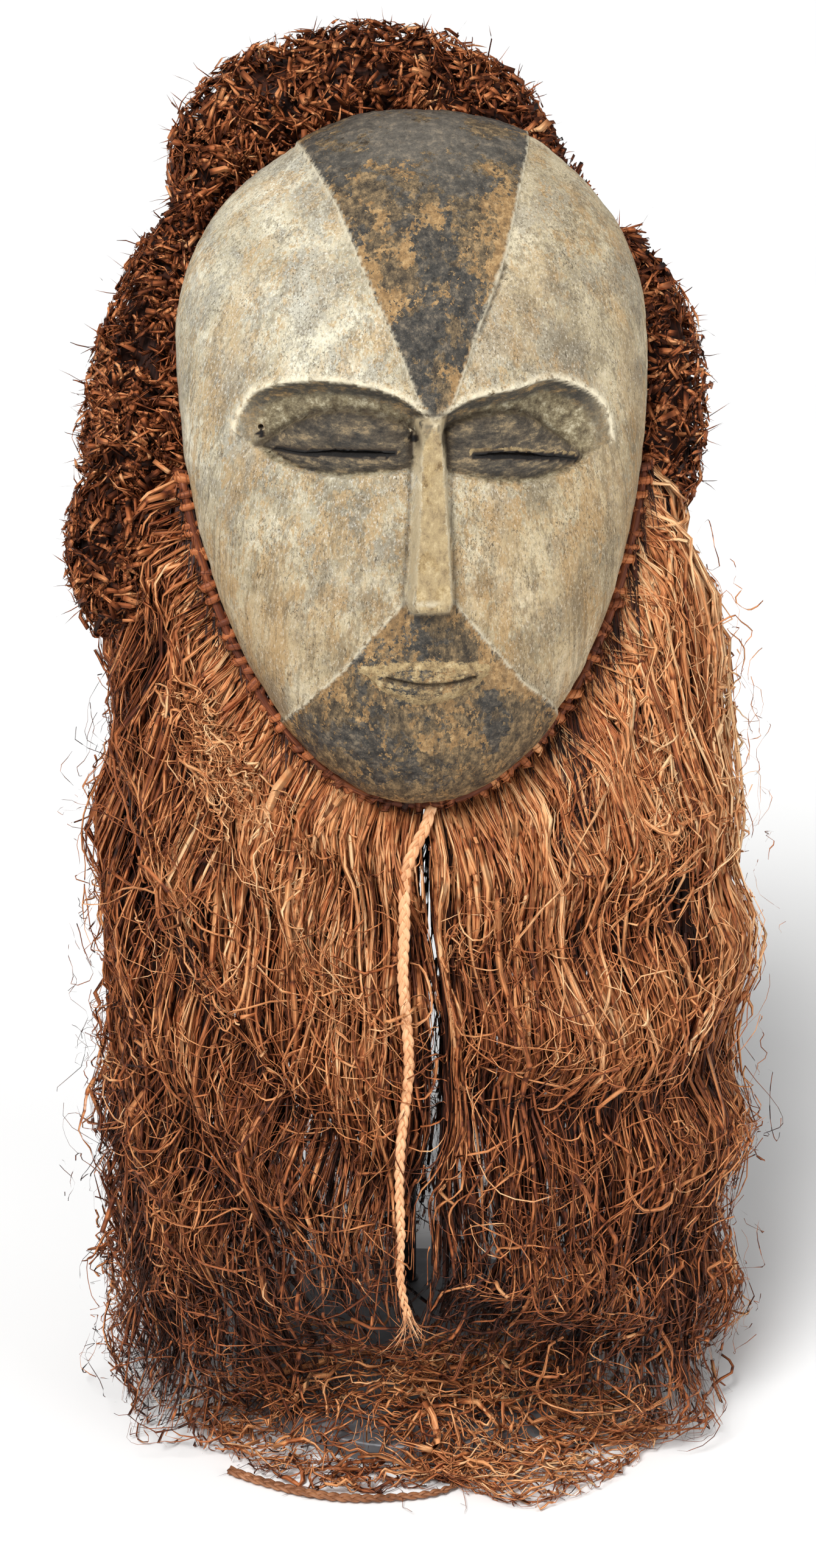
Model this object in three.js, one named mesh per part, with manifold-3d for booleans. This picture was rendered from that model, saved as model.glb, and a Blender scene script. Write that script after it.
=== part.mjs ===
// Galoa mask: a hollow carved face with a raffia coiffure and cape, on a rod stand.
// Millimetres, +Z up. The origin is the centre of the stand's underside, and the face looks along -Y.
import * as THREE from 'three';
import { mergeVertices } from 'three/addons/utils/BufferGeometryUtils.js';
import Module from 'manifold-3d';

const wasm = await Module();
wasm.setup();

// Driving dimensions of the stand
const BASE_RADIUS = 104;
const BASE_HEIGHT = 12;
const BASE_CHAMFER = 1.5;
const POST_RADIUS = 4;
const POST_X = 4;
const POST_Y = 70;
const POST_TOP = 612;
const ARM_RADIUS = 3;
const UPPER_ARM_Z = 600;
const UPPER_ARM_FRONT_Y = -67;
const PAD_RADIUS = 12;
const PAD_THICKNESS = 3;
const CRADLE_Z = 416;
const CRADLE_FRONT_Y = -62;
const SHELF_WIDTH = 36;
const SHELF_DEPTH = 14;
const SHELF_THICKNESS = 3;
const GAP = 0.3;
const SOFT_GAP = 0.7;

// Driving dimensions of the face, in its own frame: X across, Z up its height, -Y out of it.
// The frame's origin is at the widest level of the rim, in the plane of the rim.
const FACE_LEAN = THREE.MathUtils.degToRad(16);
const FACE_Y = 10;
const FACE_Z = 615;
const RIM_HALF_WIDTH = 122;
const RIM_TOP = 124.3;
const RIM_BOTTOM = 235.6;
const DOME_DEPTH = 90;
const CROWN_ROUNDNESS = 2.2;
const WALL = 11;
const PLATE_STEP = 1.8;
const FOREHEAD_HALF_WIDTH = 57;
const FOREHEAD_CORNER_Z = 110;
const FOREHEAD_TIP_Z = -32;
const WEDGE_HALF_WIDTH = 66;
const WEDGE_CORNER_Z = -182;
const WEDGE_TOP_HALF_WIDTH = 12;
const WEDGE_TOP_Z = -123;
const PLATE_OVERRUN = 30;
const NOSE_TOP_Z = -31;
const NOSE_BOTTOM_Z = -125;
const NOSE_TOP_HALF_WIDTH = 7.6;
const NOSE_BOTTOM_HALF_WIDTH = 12;
const NOSE_TOP_DEPTH = 95;
const NOSE_BOTTOM_DEPTH = 93;
const NOSE_TOP_RISE = 12;
const NOSE_BOTTOM_RISE = 26;
const NOSE_FLARE = 2.5;
const EYE_X = 46;
const EYE_Z = -43;
const EYE_TURN = 0.3;
const SOCKET_RADII = [43, 9, 19];
const SOCKET_RISE = 2;
const LID_RADII = [38, 7, 13];
const LID_RISE = -7;
const SLIT_LENGTH = 62;
const SLIT_HEIGHT = 2.6;
const SLIT_X = 45;
const SLIT_Z = -46;
const BROW_RADIUS = 3.2;
const BROW_BURIED = 1.2;
const BROW_ARCH = [[95, -36], [84, -18], [64, -9], [42, -11], [20, -19], [3, -29]];
const MOUTH_Z = -163;
const LIP_RADII = [30, 5, 8];
const LIP_BURIED = 2.2;
const MOUTH_SLIT = [48, 6, 1.6];

// Driving dimensions of the raffia
const COIFFURE_SETBACK = 1;
const END_ROUNDNESS = 5;
const EDGING_RADIUS = 5;
const EDGING_POINTS = 16;
const RIM_EDGING_REACH = THREE.MathUtils.degToRad(75);
const RIM_EDGING_OUT = EDGING_RADIUS + PLATE_STEP + GAP;
const RIM_EDGING_SETBACK = 2;
const NECK_Y = 118;
const NECK_Z = 486;
const CAPE_THICKNESS = 22;
const COLLAR_THINNING = 0.7;
const CAPE_FRONT_DEPTH = 134;
const CAPE_BACK_DEPTH = 145;
const CAPE_LEFT_HALF_WIDTH = 173;
const CAPE_RIGHT_HALF_WIDTH = 190;
const HEM_RIGHT_SPREAD = 22;
const HEM_TUCK = 0.03;
const SIDE_CLOSING = 5;
const FRONT_CLOSING = 2.2;
const THINNING_STARTS = 0.6;
const CHIN_CORD_DIAMETER = 6.3;
const HEM_CORD_DIAMETER = 5.6;

// Fineness of the facets
const SHELL_FACETS = [40, 24];
const PLATE_FACETS = [32, 20];
const HOLLOW_FACETS = [24, 14];
const BALL_FACETS = [20, 10];
const ROLL_FACETS = [10, 13];
const BROW_STEPS = 12;
const EDGING_FACETS = [24, 6];
const PANEL_COLUMNS = 5;
const PANEL_ROWS = 7;
const BASE_SIDES = 40;
const ROD_SIDES = 12;
const CORD_SIDES = 8;
const CHIN_CORD_STEPS = 24;
const HEM_CORD_STEPS = 12;

const paint = (color, roughness, metalness = 0) =>
  new THREE.MeshStandardMaterial({ color, roughness, metalness });
const KAOLIN = paint(0xcfc0a0, 0.9);
const DARK_RAFFIA = paint(0x6b3a22, 0.95);
const RAFFIA = paint(0x9a5c34, 0.95);
const PLAIT = paint(0xd0a068, 0.9);
const DARK_PLAIT = paint(0x5d3a25, 0.95);
const BLACK_STEEL = paint(0x15151a, 0.5, 0.6);
const GREY_STEEL = paint(0x6f747a, 0.55, 0.5);

const part = new THREE.Group();
const faceFrame = new THREE.Group();
faceFrame.position.set(0, FACE_Y, FACE_Z);
faceFrame.rotation.x = -FACE_LEAN;
part.add(faceFrame);
faceFrame.updateMatrixWorld(true);

function add(name, geometry, material, parent = part) {
  const mesh = new THREE.Mesh(geometry, material);
  mesh.name = name;
  parent.add(mesh);
  return mesh;
}

// Booleans
function bare(geometry) {
  const plain = geometry.clone();
  plain.deleteAttribute('normal');
  plain.deleteAttribute('uv');
  return mergeVertices(plain, 1e-4);
}

function solidOf(geometry) {
  const merged = bare(geometry);
  return new wasm.Manifold(new wasm.Mesh({
    numProp: 3,
    vertProperties: new Float32Array(merged.attributes.position.array),
    triVerts: new Uint32Array(merged.index.array),
  }));
}

function geometryOf(solid) {
  const mesh = solid.getMesh();
  const geometry = new THREE.BufferGeometry();
  geometry.setAttribute('position', new THREE.BufferAttribute(mesh.vertProperties, 3));
  geometry.setIndex(new THREE.BufferAttribute(mesh.triVerts, 1));
  geometry.computeVertexNormals();
  return geometry;
}

function turnOver(geometry) {
  const index = geometry.index.array;
  for (let i = 0; i < index.length; i += 3) {
    [index[i], index[i + 1]] = [index[i + 1], index[i]];
  }
}

function movePoints(geometry, move) {
  const position = geometry.attributes.position;
  const point = new THREE.Vector3();
  for (let i = 0; i < position.count; i += 1) {
    point.fromBufferAttribute(position, i);
    move(point);
    position.setXYZ(i, point.x, point.y, point.z);
  }
  return geometry;
}

// Soft pieces are cut clear of what was built before them. A form makes its solid, grown by a margin.
const builtForms = [];

function inPlace(solid, frame) {
  return solidOf(geometryOf(solid).applyMatrix4(frame.matrixWorld));
}

function clearOf(solid) {
  let cut = solid;
  for (const form of builtForms) {
    cut = cut.subtract(form);
  }
  const bodies = cut.decompose();
  bodies.sort((a, b) => b.volume() - a.volume());
  return bodies[0];
}

function addSoft(name, form, material, frame = part) {
  add(name, geometryOf(clearOf(inPlace(form(0), frame))), material);
  builtForms.push(inPlace(form(SOFT_GAP), frame));
}

// The face's dome: every level is half an ellipse, as wide as the outline there.
const crownShare = (z, top) => 1 - Math.pow(Math.min(1, Math.abs(z) / top), CROWN_ROUNDNESS);
const jawShare = (z, bottom) => 1 - Math.pow(Math.min(1, Math.abs(z) / bottom), 2);

function outlineHalfWidth(z, grow = 0) {
  const across = RIM_HALF_WIDTH + grow;
  if (z > 0) {
    return across * Math.pow(crownShare(z, RIM_TOP + grow), 1 / CROWN_ROUNDNESS);
  }
  return across * Math.sqrt(jawShare(z, RIM_BOTTOM + grow));
}

function levelDepth(z, grow = 0) {
  const share = z > 0 ? crownShare(z, RIM_TOP + grow) : jawShare(z, RIM_BOTTOM + grow);
  return (DOME_DEPTH + grow) * Math.sqrt(share);
}

function domeDepth(x, z, grow = 0) {
  const across = outlineHalfWidth(z, grow);
  return levelDepth(z, grow) * Math.sqrt(Math.max(0, 1 - (x / across) ** 2));
}

function domeSolid(grow, facets) {
  const egg = new THREE.SphereGeometry(1, ...facets);
  egg.rotateX(Math.PI / 2);
  movePoints(egg, (point) => {
    const angle = Math.atan2(point.y, point.x);
    const level = THREE.MathUtils.clamp(point.z, -1, 1);
    const z = level * (level > 0 ? RIM_TOP + grow : RIM_BOTTOM + grow);
    const onAxis = Math.hypot(point.x, point.y) < 1e-6;
    const across = onAxis ? 0 : outlineHalfWidth(z, grow);
    const deep = onAxis ? 0 : levelDepth(z, grow);
    point.set(across * Math.cos(angle), deep * Math.sin(angle), z);
  });
  return solidOf(egg);
}

// A flat outline in X and Z, extruded out of the face from one depth to another.
function faceCutter(points, fromDepth, toDepth) {
  const shape = new THREE.Shape(points.map(([x, z]) => new THREE.Vector2(x, z)));
  const block = new THREE.ExtrudeGeometry(shape, { depth: toDepth - fromDepth, bevelEnabled: false });
  block.rotateX(Math.PI / 2);
  block.translate(0, -fromDepth, 0);
  return solidOf(block);
}

function ellipsoid(center, radii, turn = 0) {
  const ball = new THREE.SphereGeometry(1, ...BALL_FACETS);
  ball.scale(...radii);
  ball.rotateZ(turn);
  ball.translate(...center);
  return solidOf(ball);
}

// An almond turned to lie along the dome. Rise is how far its middle stands out of the dome.
function eyeForm(center, side, rise, radii) {
  const turn = side * EYE_TURN;
  const out = new THREE.Vector3(0, -rise, 0).applyAxisAngle(new THREE.Vector3(0, 0, 1), turn);
  return ellipsoid(center.clone().add(out).toArray(), radii, turn);
}

function noseSolid() {
  const block = new THREE.BoxGeometry(2, 1, 1);
  movePoints(block, (point) => {
    const low = point.z < 0;
    const rooted = point.y > 0;
    const half = low ? NOSE_BOTTOM_HALF_WIDTH : NOSE_TOP_HALF_WIDTH;
    const front = low ? NOSE_BOTTOM_DEPTH : NOSE_TOP_DEPTH;
    const rise = low ? NOSE_BOTTOM_RISE : NOSE_TOP_RISE;
    point.x *= rooted ? half + NOSE_FLARE : half;
    point.y = rooted ? rise - front : -front;
    point.z = low ? NOSE_BOTTOM_Z : NOSE_TOP_Z;
  });
  return solidOf(block);
}

function browSolid(side) {
  const path = new THREE.CatmullRomCurve3(
    BROW_ARCH.map(([x, z]) => new THREE.Vector3(side * x, BROW_BURIED - domeDepth(x, z), z)));
  return solidOf(tube(path, BROW_RADIUS, BROW_STEPS, CORD_SIDES));
}

function foreheadPrism() {
  const left = [-FOREHEAD_HALF_WIDTH, FOREHEAD_CORNER_Z];
  const right = [FOREHEAD_HALF_WIDTH, FOREHEAD_CORNER_Z];
  const above = FOREHEAD_CORNER_Z + PLATE_OVERRUN;
  const beyond = FOREHEAD_HALF_WIDTH * (above - FOREHEAD_TIP_Z) / (FOREHEAD_CORNER_Z - FOREHEAD_TIP_Z);
  return faceCutter([[-beyond, above], left, [0, FOREHEAD_TIP_Z], right, [beyond, above]],
    -PLATE_OVERRUN, DOME_DEPTH + PLATE_OVERRUN);
}

function wedgePrism() {
  const below = -RIM_BOTTOM - PLATE_OVERRUN;
  const beyond = WEDGE_HALF_WIDTH + PLATE_OVERRUN;
  return faceCutter([
    [-WEDGE_TOP_HALF_WIDTH, WEDGE_TOP_Z],
    [-WEDGE_HALF_WIDTH, WEDGE_CORNER_Z],
    [-beyond, below],
    [beyond, below],
    [WEDGE_HALF_WIDTH, WEDGE_CORNER_Z],
    [WEDGE_TOP_HALF_WIDTH, WEDGE_TOP_Z],
  ], -PLATE_OVERRUN, DOME_DEPTH + PLATE_OVERRUN);
}

function boxSolid(size, center) {
  const box = new THREE.BoxGeometry(...size);
  box.translate(...center);
  return solidOf(box);
}

function maskFace() {
  const raised = domeSolid(PLATE_STEP, PLATE_FACETS);
  let face = domeSolid(0, SHELL_FACETS)
    .add(raised.intersect(foreheadPrism()))
    .add(raised.intersect(wedgePrism()));
  for (const side of [-1, 1]) {
    const center = new THREE.Vector3(side * EYE_X, -domeDepth(EYE_X, EYE_Z), EYE_Z);
    face = face.subtract(eyeForm(center, side, SOCKET_RISE, SOCKET_RADII))
      .add(eyeForm(center, side, LID_RISE, LID_RADII))
      .add(browSolid(side));
  }
  const mouthY = -domeDepth(0, MOUTH_Z, PLATE_STEP);
  face = face.add(noseSolid())
    .add(ellipsoid([0, mouthY + LIP_BURIED, MOUTH_Z], LIP_RADII))
    .subtract(boxSolid(MOUTH_SLIT, [0, mouthY - MOUTH_SLIT[1] / 2, MOUTH_Z]));
  for (const side of [-1, 1]) {
    face = face.subtract(
      boxSolid([SLIT_LENGTH, DOME_DEPTH, SLIT_HEIGHT], [side * SLIT_X, -DOME_DEPTH, SLIT_Z]));
  }
  const behind = boxSolid([4 * RIM_HALF_WIDTH, RIM_BOTTOM, 4 * RIM_BOTTOM], [0, RIM_BOTTOM / 2, 0]);
  return geometryOf(face.subtract(domeSolid(-WALL, HOLLOW_FACETS)).subtract(behind));
}

// A roll of raffia: a round-ended bolster whose middle line is a curve in the face's frame.
function bolster(stations, grow) {
  const line = new THREE.CatmullRomCurve3(stations.map(([x, back, z]) => new THREE.Vector3(x, back, z)));
  const radii = new THREE.CatmullRomCurve3(stations.map((s, i) => new THREE.Vector3(i, s[3], 0)));
  const { tangents, normals, binormals } = line.computeFrenetFrames(ROLL_FACETS[1], false);
  const ball = new THREE.SphereGeometry(1, ...ROLL_FACETS);
  movePoints(ball, (point) => {
    const along = Math.acos(THREE.MathUtils.clamp(point.y, -1, 1)) / Math.PI;
    const ring = Math.round(along * ROLL_FACETS[1]);
    const fromMiddle = 2 * along - 1;
    const fullness = Math.sqrt(Math.max(0, 1 - Math.pow(Math.abs(fromMiddle), END_ROUNDNESS)));
    const radius = (radii.getPoint(along).y + grow) * fullness;
    const angle = Math.atan2(point.z, point.x);
    point.copy(line.getPointAt(along))
      .addScaledVector(tangents[ring], 2 * grow * fromMiddle)
      .addScaledVector(normals[ring], radius * Math.cos(angle))
      .addScaledVector(binormals[ring], radius * Math.sin(angle));
  });
  if (solidOf(ball).volume() < 0) {
    turnOver(ball);
  }
  return solidOf(ball);
}

// The roll's middle line runs behind the rim, a little further back where the roll is thick.
function rollStations(outline) {
  const widest = Math.max(...outline.map((station) => station[2]));
  return outline.map(([x, z, radius]) => [x, (radius + widest) / 2 + COIFFURE_SETBACK, z, radius]);
}

// The edging: a cord just outside the rim of the lower half, then round the back of the neck.
// Around runs from 0 at the chin to PI at the back of the neck, negative on the left of the picture.
function rimPoint(around, out) {
  const across = (RIM_HALF_WIDTH + out) * Math.sin(around);
  const up = -(RIM_BOTTOM + out) * Math.cos(around);
  return new THREE.Vector3(across, RIM_EDGING_SETBACK, up).applyMatrix4(faceFrame.matrixWorld);
}

function collarPoint(turned, out) {
  const around = Math.atan2(Math.sin(turned), Math.cos(turned));
  const away = Math.abs(around);
  if (away <= RIM_EDGING_REACH) {
    return rimPoint(around, out);
  }
  const start = rimPoint(RIM_EDGING_REACH, out);
  const share = (away - RIM_EDGING_REACH) / (Math.PI - RIM_EDGING_REACH);
  const across = start.x * Math.sin(away) / Math.sin(RIM_EDGING_REACH);
  const back = THREE.MathUtils.lerp(start.y, NECK_Y + out, Math.sin(share * Math.PI / 2));
  const height = THREE.MathUtils.lerp(start.z, NECK_Z, THREE.MathUtils.smoothstep(share, 0, 0.7));
  return new THREE.Vector3(Math.sign(around) * across, back, height);
}

function edgingPath(from, to) {
  const points = [];
  for (let i = 0; i <= EDGING_POINTS; i += 1) {
    points.push(collarPoint(THREE.MathUtils.lerp(from, to, i / EDGING_POINTS), RIM_EDGING_OUT));
  }
  return new THREE.CatmullRomCurve3(points);
}

function tube(path, radius, steps, sides) {
  const section = [];
  for (let i = 0; i < sides; i += 1) {
    const angle = 2 * Math.PI * i / sides;
    section.push(new THREE.Vector2(radius * Math.cos(angle), radius * Math.sin(angle)));
  }
  return new THREE.ExtrudeGeometry(new THREE.Shape(section),
    { extrudePath: path, steps, bevelEnabled: false });
}

// The cape: fibres from the collar down to the floor, in a wall that closes in at the shoulders.
function hemPoint(around) {
  const across = Math.sin(around) < 0 ? CAPE_LEFT_HALF_WIDTH : CAPE_RIGHT_HALF_WIDTH;
  const ahead = Math.cos(around) > 0 ? CAPE_FRONT_DEPTH : CAPE_BACK_DEPTH;
  const spread = Math.max(0, Math.sin(2 * around)) * (around > 0 ? HEM_RIGHT_SPREAD : 0);
  return new THREE.Vector3(across * Math.sin(around), -ahead * Math.cos(around) - spread, 0);
}

function capePoint(around, up, inset) {
  const collar = collarPoint(around, RIM_EDGING_OUT + EDGING_RADIUS);
  const hem = hemPoint(around);
  const frontShare = Math.max(0, Math.cos(around));
  const closing = Math.pow(up, THREE.MathUtils.lerp(SIDE_CLOSING, FRONT_CLOSING, frontShare));
  const point = new THREE.Vector3().lerpVectors(hem, collar, closing);
  const tuck = 1 - HEM_TUCK * Math.pow(1 - up, 3);
  const outward = new THREE.Vector2(point.x, point.y);
  const length = outward.length();
  outward.multiplyScalar((length * tuck - inset) / length);
  return new THREE.Vector3(outward.x, outward.y, up * collar.z);
}

function capePanel(fromAngle, toAngle, grow) {
  const block = new THREE.BoxGeometry(1, 1, 1, PANEL_COLUMNS, 1, PANEL_ROWS);
  const spread = Math.sign(toAngle - fromAngle) * grow / CAPE_FRONT_DEPTH;
  movePoints(block, (point) => {
    const around = THREE.MathUtils.lerp(fromAngle - spread, toAngle + spread, point.x + 0.5);
    const inner = point.y > 0;
    const up = point.z + 0.5;
    const thinning = COLLAR_THINNING * THREE.MathUtils.smoothstep(up, THINNING_STARTS, 1);
    const thickness = CAPE_THICKNESS * (1 - thinning);
    point.copy(capePoint(around, up, inner ? thickness + grow : -grow));
  });
  if (toAngle < fromAngle) {
    turnOver(block);
  }
  return solidOf(block);
}

// The stand
function standBase() {
  const profile = [
    [0, 0],
    [BASE_RADIUS, 0],
    [BASE_RADIUS, BASE_HEIGHT - BASE_CHAMFER],
    [BASE_RADIUS - BASE_CHAMFER, BASE_HEIGHT],
    [0, BASE_HEIGHT],
  ];
  const disc = new THREE.LatheGeometry(profile.map(([x, y]) => new THREE.Vector2(x, y)), BASE_SIDES);
  disc.rotateX(Math.PI / 2);
  return geometryOf(solidOf(disc));
}

function standPost() {
  const height = POST_TOP - BASE_HEIGHT - GAP;
  const post = new THREE.CylinderGeometry(POST_RADIUS, POST_RADIUS, height, ROD_SIDES);
  post.rotateX(Math.PI / 2);
  post.translate(POST_X, POST_Y, BASE_HEIGHT + GAP + height / 2);
  return post;
}

// A rod from the post towards the face. What bears on the wood is on its front end.
function armRod(height, frontY) {
  const rearY = POST_Y - POST_RADIUS - GAP;
  const rod = new THREE.CylinderGeometry(ARM_RADIUS, ARM_RADIUS, rearY - frontY, ROD_SIDES);
  rod.translate(POST_X, (rearY + frontY) / 2, height);
  return solidOf(rod);
}

function standUpperArm() {
  const pad = new THREE.CylinderGeometry(PAD_RADIUS, PAD_RADIUS, PAD_THICKNESS, ROD_SIDES);
  pad.translate(POST_X, UPPER_ARM_FRONT_Y, UPPER_ARM_Z);
  return geometryOf(armRod(UPPER_ARM_Z, UPPER_ARM_FRONT_Y).add(solidOf(pad)));
}

function standCradle() {
  const middle = CRADLE_FRONT_Y + SHELF_DEPTH / 2 - SHELF_THICKNESS / 2;
  const shelf = boxSolid([SHELF_WIDTH, SHELF_DEPTH, SHELF_THICKNESS], [POST_X, middle, CRADLE_Z]);
  return geometryOf(armRod(CRADLE_Z, CRADLE_FRONT_Y).add(shelf));
}

// Coiffure rolls. Each station: across, up the face, and the roll's radius there.
const CROWN_ROLL = [
  [-112, 60, 20],
  [-101, 86, 33],
  [-90, 110, 41],
  [-58, 124, 43],
  [-18, 130, 41],
  [22, 128, 37],
  [56, 118, 29],
  [84, 88, 20],
  [100, 60, 14],
];
const LEFT_UPPER_ROLL = [
  [-108, 84, 16],
  [-118, 52, 34],
  [-128, 14, 41],
  [-134, -26, 42],
  [-140, -62, 38],
  [-142, -86, 22],
];
const LEFT_LOWER_ROLL = [
  [-138, -60, 16],
  [-144, -82, 36],
  [-148, -106, 38],
  [-148, -132, 32],
  [-150, -152, 22],
];
const RIGHT_ROLL = [
  [106, 72, 14],
  [116, 38, 26],
  [126, 0, 34],
  [127, -42, 35],
  [122, -78, 30],
  [120, -98, 16],
];

// Cords. Each route starts where the cord leaves the collar.
const CHIN_CORD_ROUTE = [
  [2, -65, 378],
  [-1, -69, 373],
  [-7, -73.5, 366],
  [-11.5, -78.5, 353],
  [-12.5, -87, 329],
  [-13.9, -95, 305],
  [-13.1, -100.8, 286],
  [-12.1, -105, 271],
  [-12.3, -110, 251],
  [-15.6, -115.3, 228],
  [-17.6, -119.2, 209],
  [-18.3, -122.8, 190],
  [-17.9, -126, 168],
  [-18.5, -128.6, 148],
  [-17.7, -130.4, 132],
  [-14.2, -131.9, 116],
  [-11.2, -132.4, 108],
];
const HEM_CORD_ROUTE = [
  [-112, -103.5, 3],
  [-104, -109.5, 3],
  [-94, -116, 3],
  [-82, -123, 3],
  [-68, -129.5, 3],
  [-54, -134, 3],
  [-40, -136.5, 3],
  [-26, -137, 3],
  [-12, -136.5, 3],
  [-1, -135, 3],
  [8, -131.5, 3],
  [13, -126, 3],
];

function routeTube(route, diameter, steps) {
  const points = route.map((point) => new THREE.Vector3(...point));
  const path = new THREE.CatmullRomCurve3(points, false, 'centripetal');
  return tube(path, diameter / 2, steps, CORD_SIDES);
}

// Build the object
const degrees = THREE.MathUtils.degToRad;
add('mask_face', maskFace(), KAOLIN, faceFrame);
add('stand_base', standBase(), GREY_STEEL);
add('stand_post', standPost(), BLACK_STEEL);
add('stand_upper_arm', standUpperArm(), BLACK_STEEL);
add('stand_cradle', standCradle(), BLACK_STEEL);
builtForms.push(inPlace(domeSolid(PLATE_STEP + GAP, SHELL_FACETS), faceFrame));
const rolls = {
  coiffure_crown: CROWN_ROLL,
  coiffure_left_upper: LEFT_UPPER_ROLL,
  coiffure_left_lower: LEFT_LOWER_ROLL,
  coiffure_right: RIGHT_ROLL,
};
for (const [name, outline] of Object.entries(rolls)) {
  addSoft(name, (grow) => bolster(rollStations(outline), grow), DARK_RAFFIA, faceFrame);
}
const edgings = {
  rim_edging: [-RIM_EDGING_REACH, RIM_EDGING_REACH],
  neck_edging: [RIM_EDGING_REACH, 2 * Math.PI - RIM_EDGING_REACH],
};
for (const [name, [from, to]] of Object.entries(edgings)) {
  const path = edgingPath(from, to);
  addSoft(name, (grow) => solidOf(tube(path, EDGING_RADIUS + grow, ...EDGING_FACETS)), RAFFIA);
}
const panels = {
  beard_left: [-1.5, -62],
  beard_right: [7, 62],
  cape_left: [-62, -118],
  cape_right: [62, 118],
  cape_back_left: [-118, -180],
  cape_back_right: [118, 180],
};
for (const [name, [from, to]] of Object.entries(panels)) {
  addSoft(name, (grow) => capePanel(degrees(from), degrees(to), grow), RAFFIA);
}
add('chin_cord', routeTube(CHIN_CORD_ROUTE, CHIN_CORD_DIAMETER, CHIN_CORD_STEPS), PLAIT);
add('hem_cord', routeTube(HEM_CORD_ROUTE, HEM_CORD_DIAMETER, HEM_CORD_STEPS), DARK_PLAIT);

export default part;
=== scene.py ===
"""Looks of a Galoa mask: painted carved face, raffia coiffure, knotted raffia cape and rod stand.

Everything is in metres in the part's own frame: Z is up, and the face looks along -Y.
"""

from __future__ import annotations

import enum
import logging
import math
from dataclasses import dataclass
from typing import Iterable, Optional, Sequence

import bmesh
import bpy
import numpy as np
from mathutils import Matrix, Vector

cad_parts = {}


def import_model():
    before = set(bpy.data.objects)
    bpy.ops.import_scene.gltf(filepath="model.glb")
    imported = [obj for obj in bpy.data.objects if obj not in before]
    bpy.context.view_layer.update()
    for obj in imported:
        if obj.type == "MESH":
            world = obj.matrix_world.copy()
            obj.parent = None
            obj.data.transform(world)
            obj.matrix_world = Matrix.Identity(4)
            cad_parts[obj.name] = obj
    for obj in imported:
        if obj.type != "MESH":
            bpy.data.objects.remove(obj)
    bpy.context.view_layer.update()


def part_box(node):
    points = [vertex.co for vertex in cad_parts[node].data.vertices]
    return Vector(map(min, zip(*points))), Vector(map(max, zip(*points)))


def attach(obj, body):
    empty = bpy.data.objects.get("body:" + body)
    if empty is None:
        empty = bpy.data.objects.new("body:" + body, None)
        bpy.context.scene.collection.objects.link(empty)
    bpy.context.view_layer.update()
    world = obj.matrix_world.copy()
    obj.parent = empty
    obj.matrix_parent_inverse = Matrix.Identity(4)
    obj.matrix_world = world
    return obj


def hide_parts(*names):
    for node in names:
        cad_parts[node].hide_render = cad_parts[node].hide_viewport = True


LOG = logging.getLogger("galoa_mask")
MM = 0.001
SEED = 4711
FIBRE_SIDES = 3
# About a whole turn, in radians
TURN = 6.28
# How high above the floor the lowest fibres lie
LIFT = 0.0008
# The corners of the room that the visual model has
ROOM_LOW = np.array([-0.2035, -0.1550, LIFT])
ROOM_HIGH = np.array([0.2050, 0.1600, 0.7980])
Socket = bpy.types.NodeSocket
Triple = tuple[float, float, float]
Pair = tuple[np.ndarray, np.ndarray]


class Slot(enum.Enum):
    """The record's material slots."""

    WOOD = "painted_wood"
    DARK_RAFFIA = "dark_raffia"
    RAFFIA = "raffia"
    PLAIT = "plait"
    DARK_PLAIT = "dark_plait"
    BLACK_STEEL = "black_steel"
    GREY_STEEL = "grey_steel"


# Small mathematics


def smoothstep(low: float, high: float, value: np.ndarray) -> np.ndarray:
    """A smooth rise from 0 at low to 1 at high."""
    share = np.clip((value - low) / (high - low), 0.0, 1.0)
    return share * share * (3.0 - 2.0 * share)


def lerp(start: np.ndarray, end: np.ndarray, share: np.ndarray) -> np.ndarray:
    """The value a share of the way from start to end."""
    return start + (end - start) * share


def unit(vectors: np.ndarray) -> np.ndarray:
    """The same directions with a length of 1."""
    return vectors / (np.linalg.norm(vectors, axis=-1, keepdims=True) + 1e-12)


def smooth_line(points: Sequence[Sequence[float]], per_span: int, closed: bool = False) -> np.ndarray:
    """A Catmull-Rom line through points.

    Args:
        points: the points it goes through.
        per_span: how many points it gives for each stretch between two of them.
        closed: whether it comes back to its start.

    Returns:
        An array of points, one a row.
    """
    knots = np.asarray(points, float)
    if closed:
        knots = np.vstack([knots[-1:], knots, knots[:2]])
    else:
        knots = np.vstack([2 * knots[:1] - knots[1:2], knots, 2 * knots[-1:] - knots[-2:-1]])
    t = np.linspace(0.0, 1.0, per_span, endpoint=False)[:, None]
    spans = []
    for a, b, c, d in zip(knots, knots[1:], knots[2:], knots[3:]):
        spans.append(0.5 * (
            2 * b + (c - a) * t + (2 * a - 5 * b + 4 * c - d) * t**2 + (3 * b - a - 3 * c + d) * t**3))
    if not closed:
        spans.append(knots[-2:-1])
    return np.vstack(spans)


def hump(value: np.ndarray, width: float) -> np.ndarray:
    """A soft hump, 1 where the value is 0 and fading over a width."""
    return np.exp(-((value / width) ** 2))


def holding(far: np.ndarray, limit: np.ndarray) -> np.ndarray:
    """The share of a way that is left so that it softly stays within a limit."""
    return limit * np.tanh(far / limit) / np.maximum(far, 1e-6)


def runs(line: np.ndarray) -> np.ndarray:
    """How far along the line each of its points is."""
    return np.concatenate([[0.0], np.cumsum(np.linalg.norm(np.diff(line, axis=0), axis=1))])


def points_at(line: np.ndarray, at: np.ndarray) -> np.ndarray:
    """The line's points at distances along it."""
    run = runs(line)
    return np.stack([np.interp(at, run, line[:, k]) for k in range(line.shape[1])], axis=1)


def evenly(line: np.ndarray, count: int) -> np.ndarray:
    """The same line as count points, equally far apart along it."""
    return points_at(line, np.linspace(0.0, runs(line)[-1], count))


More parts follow.
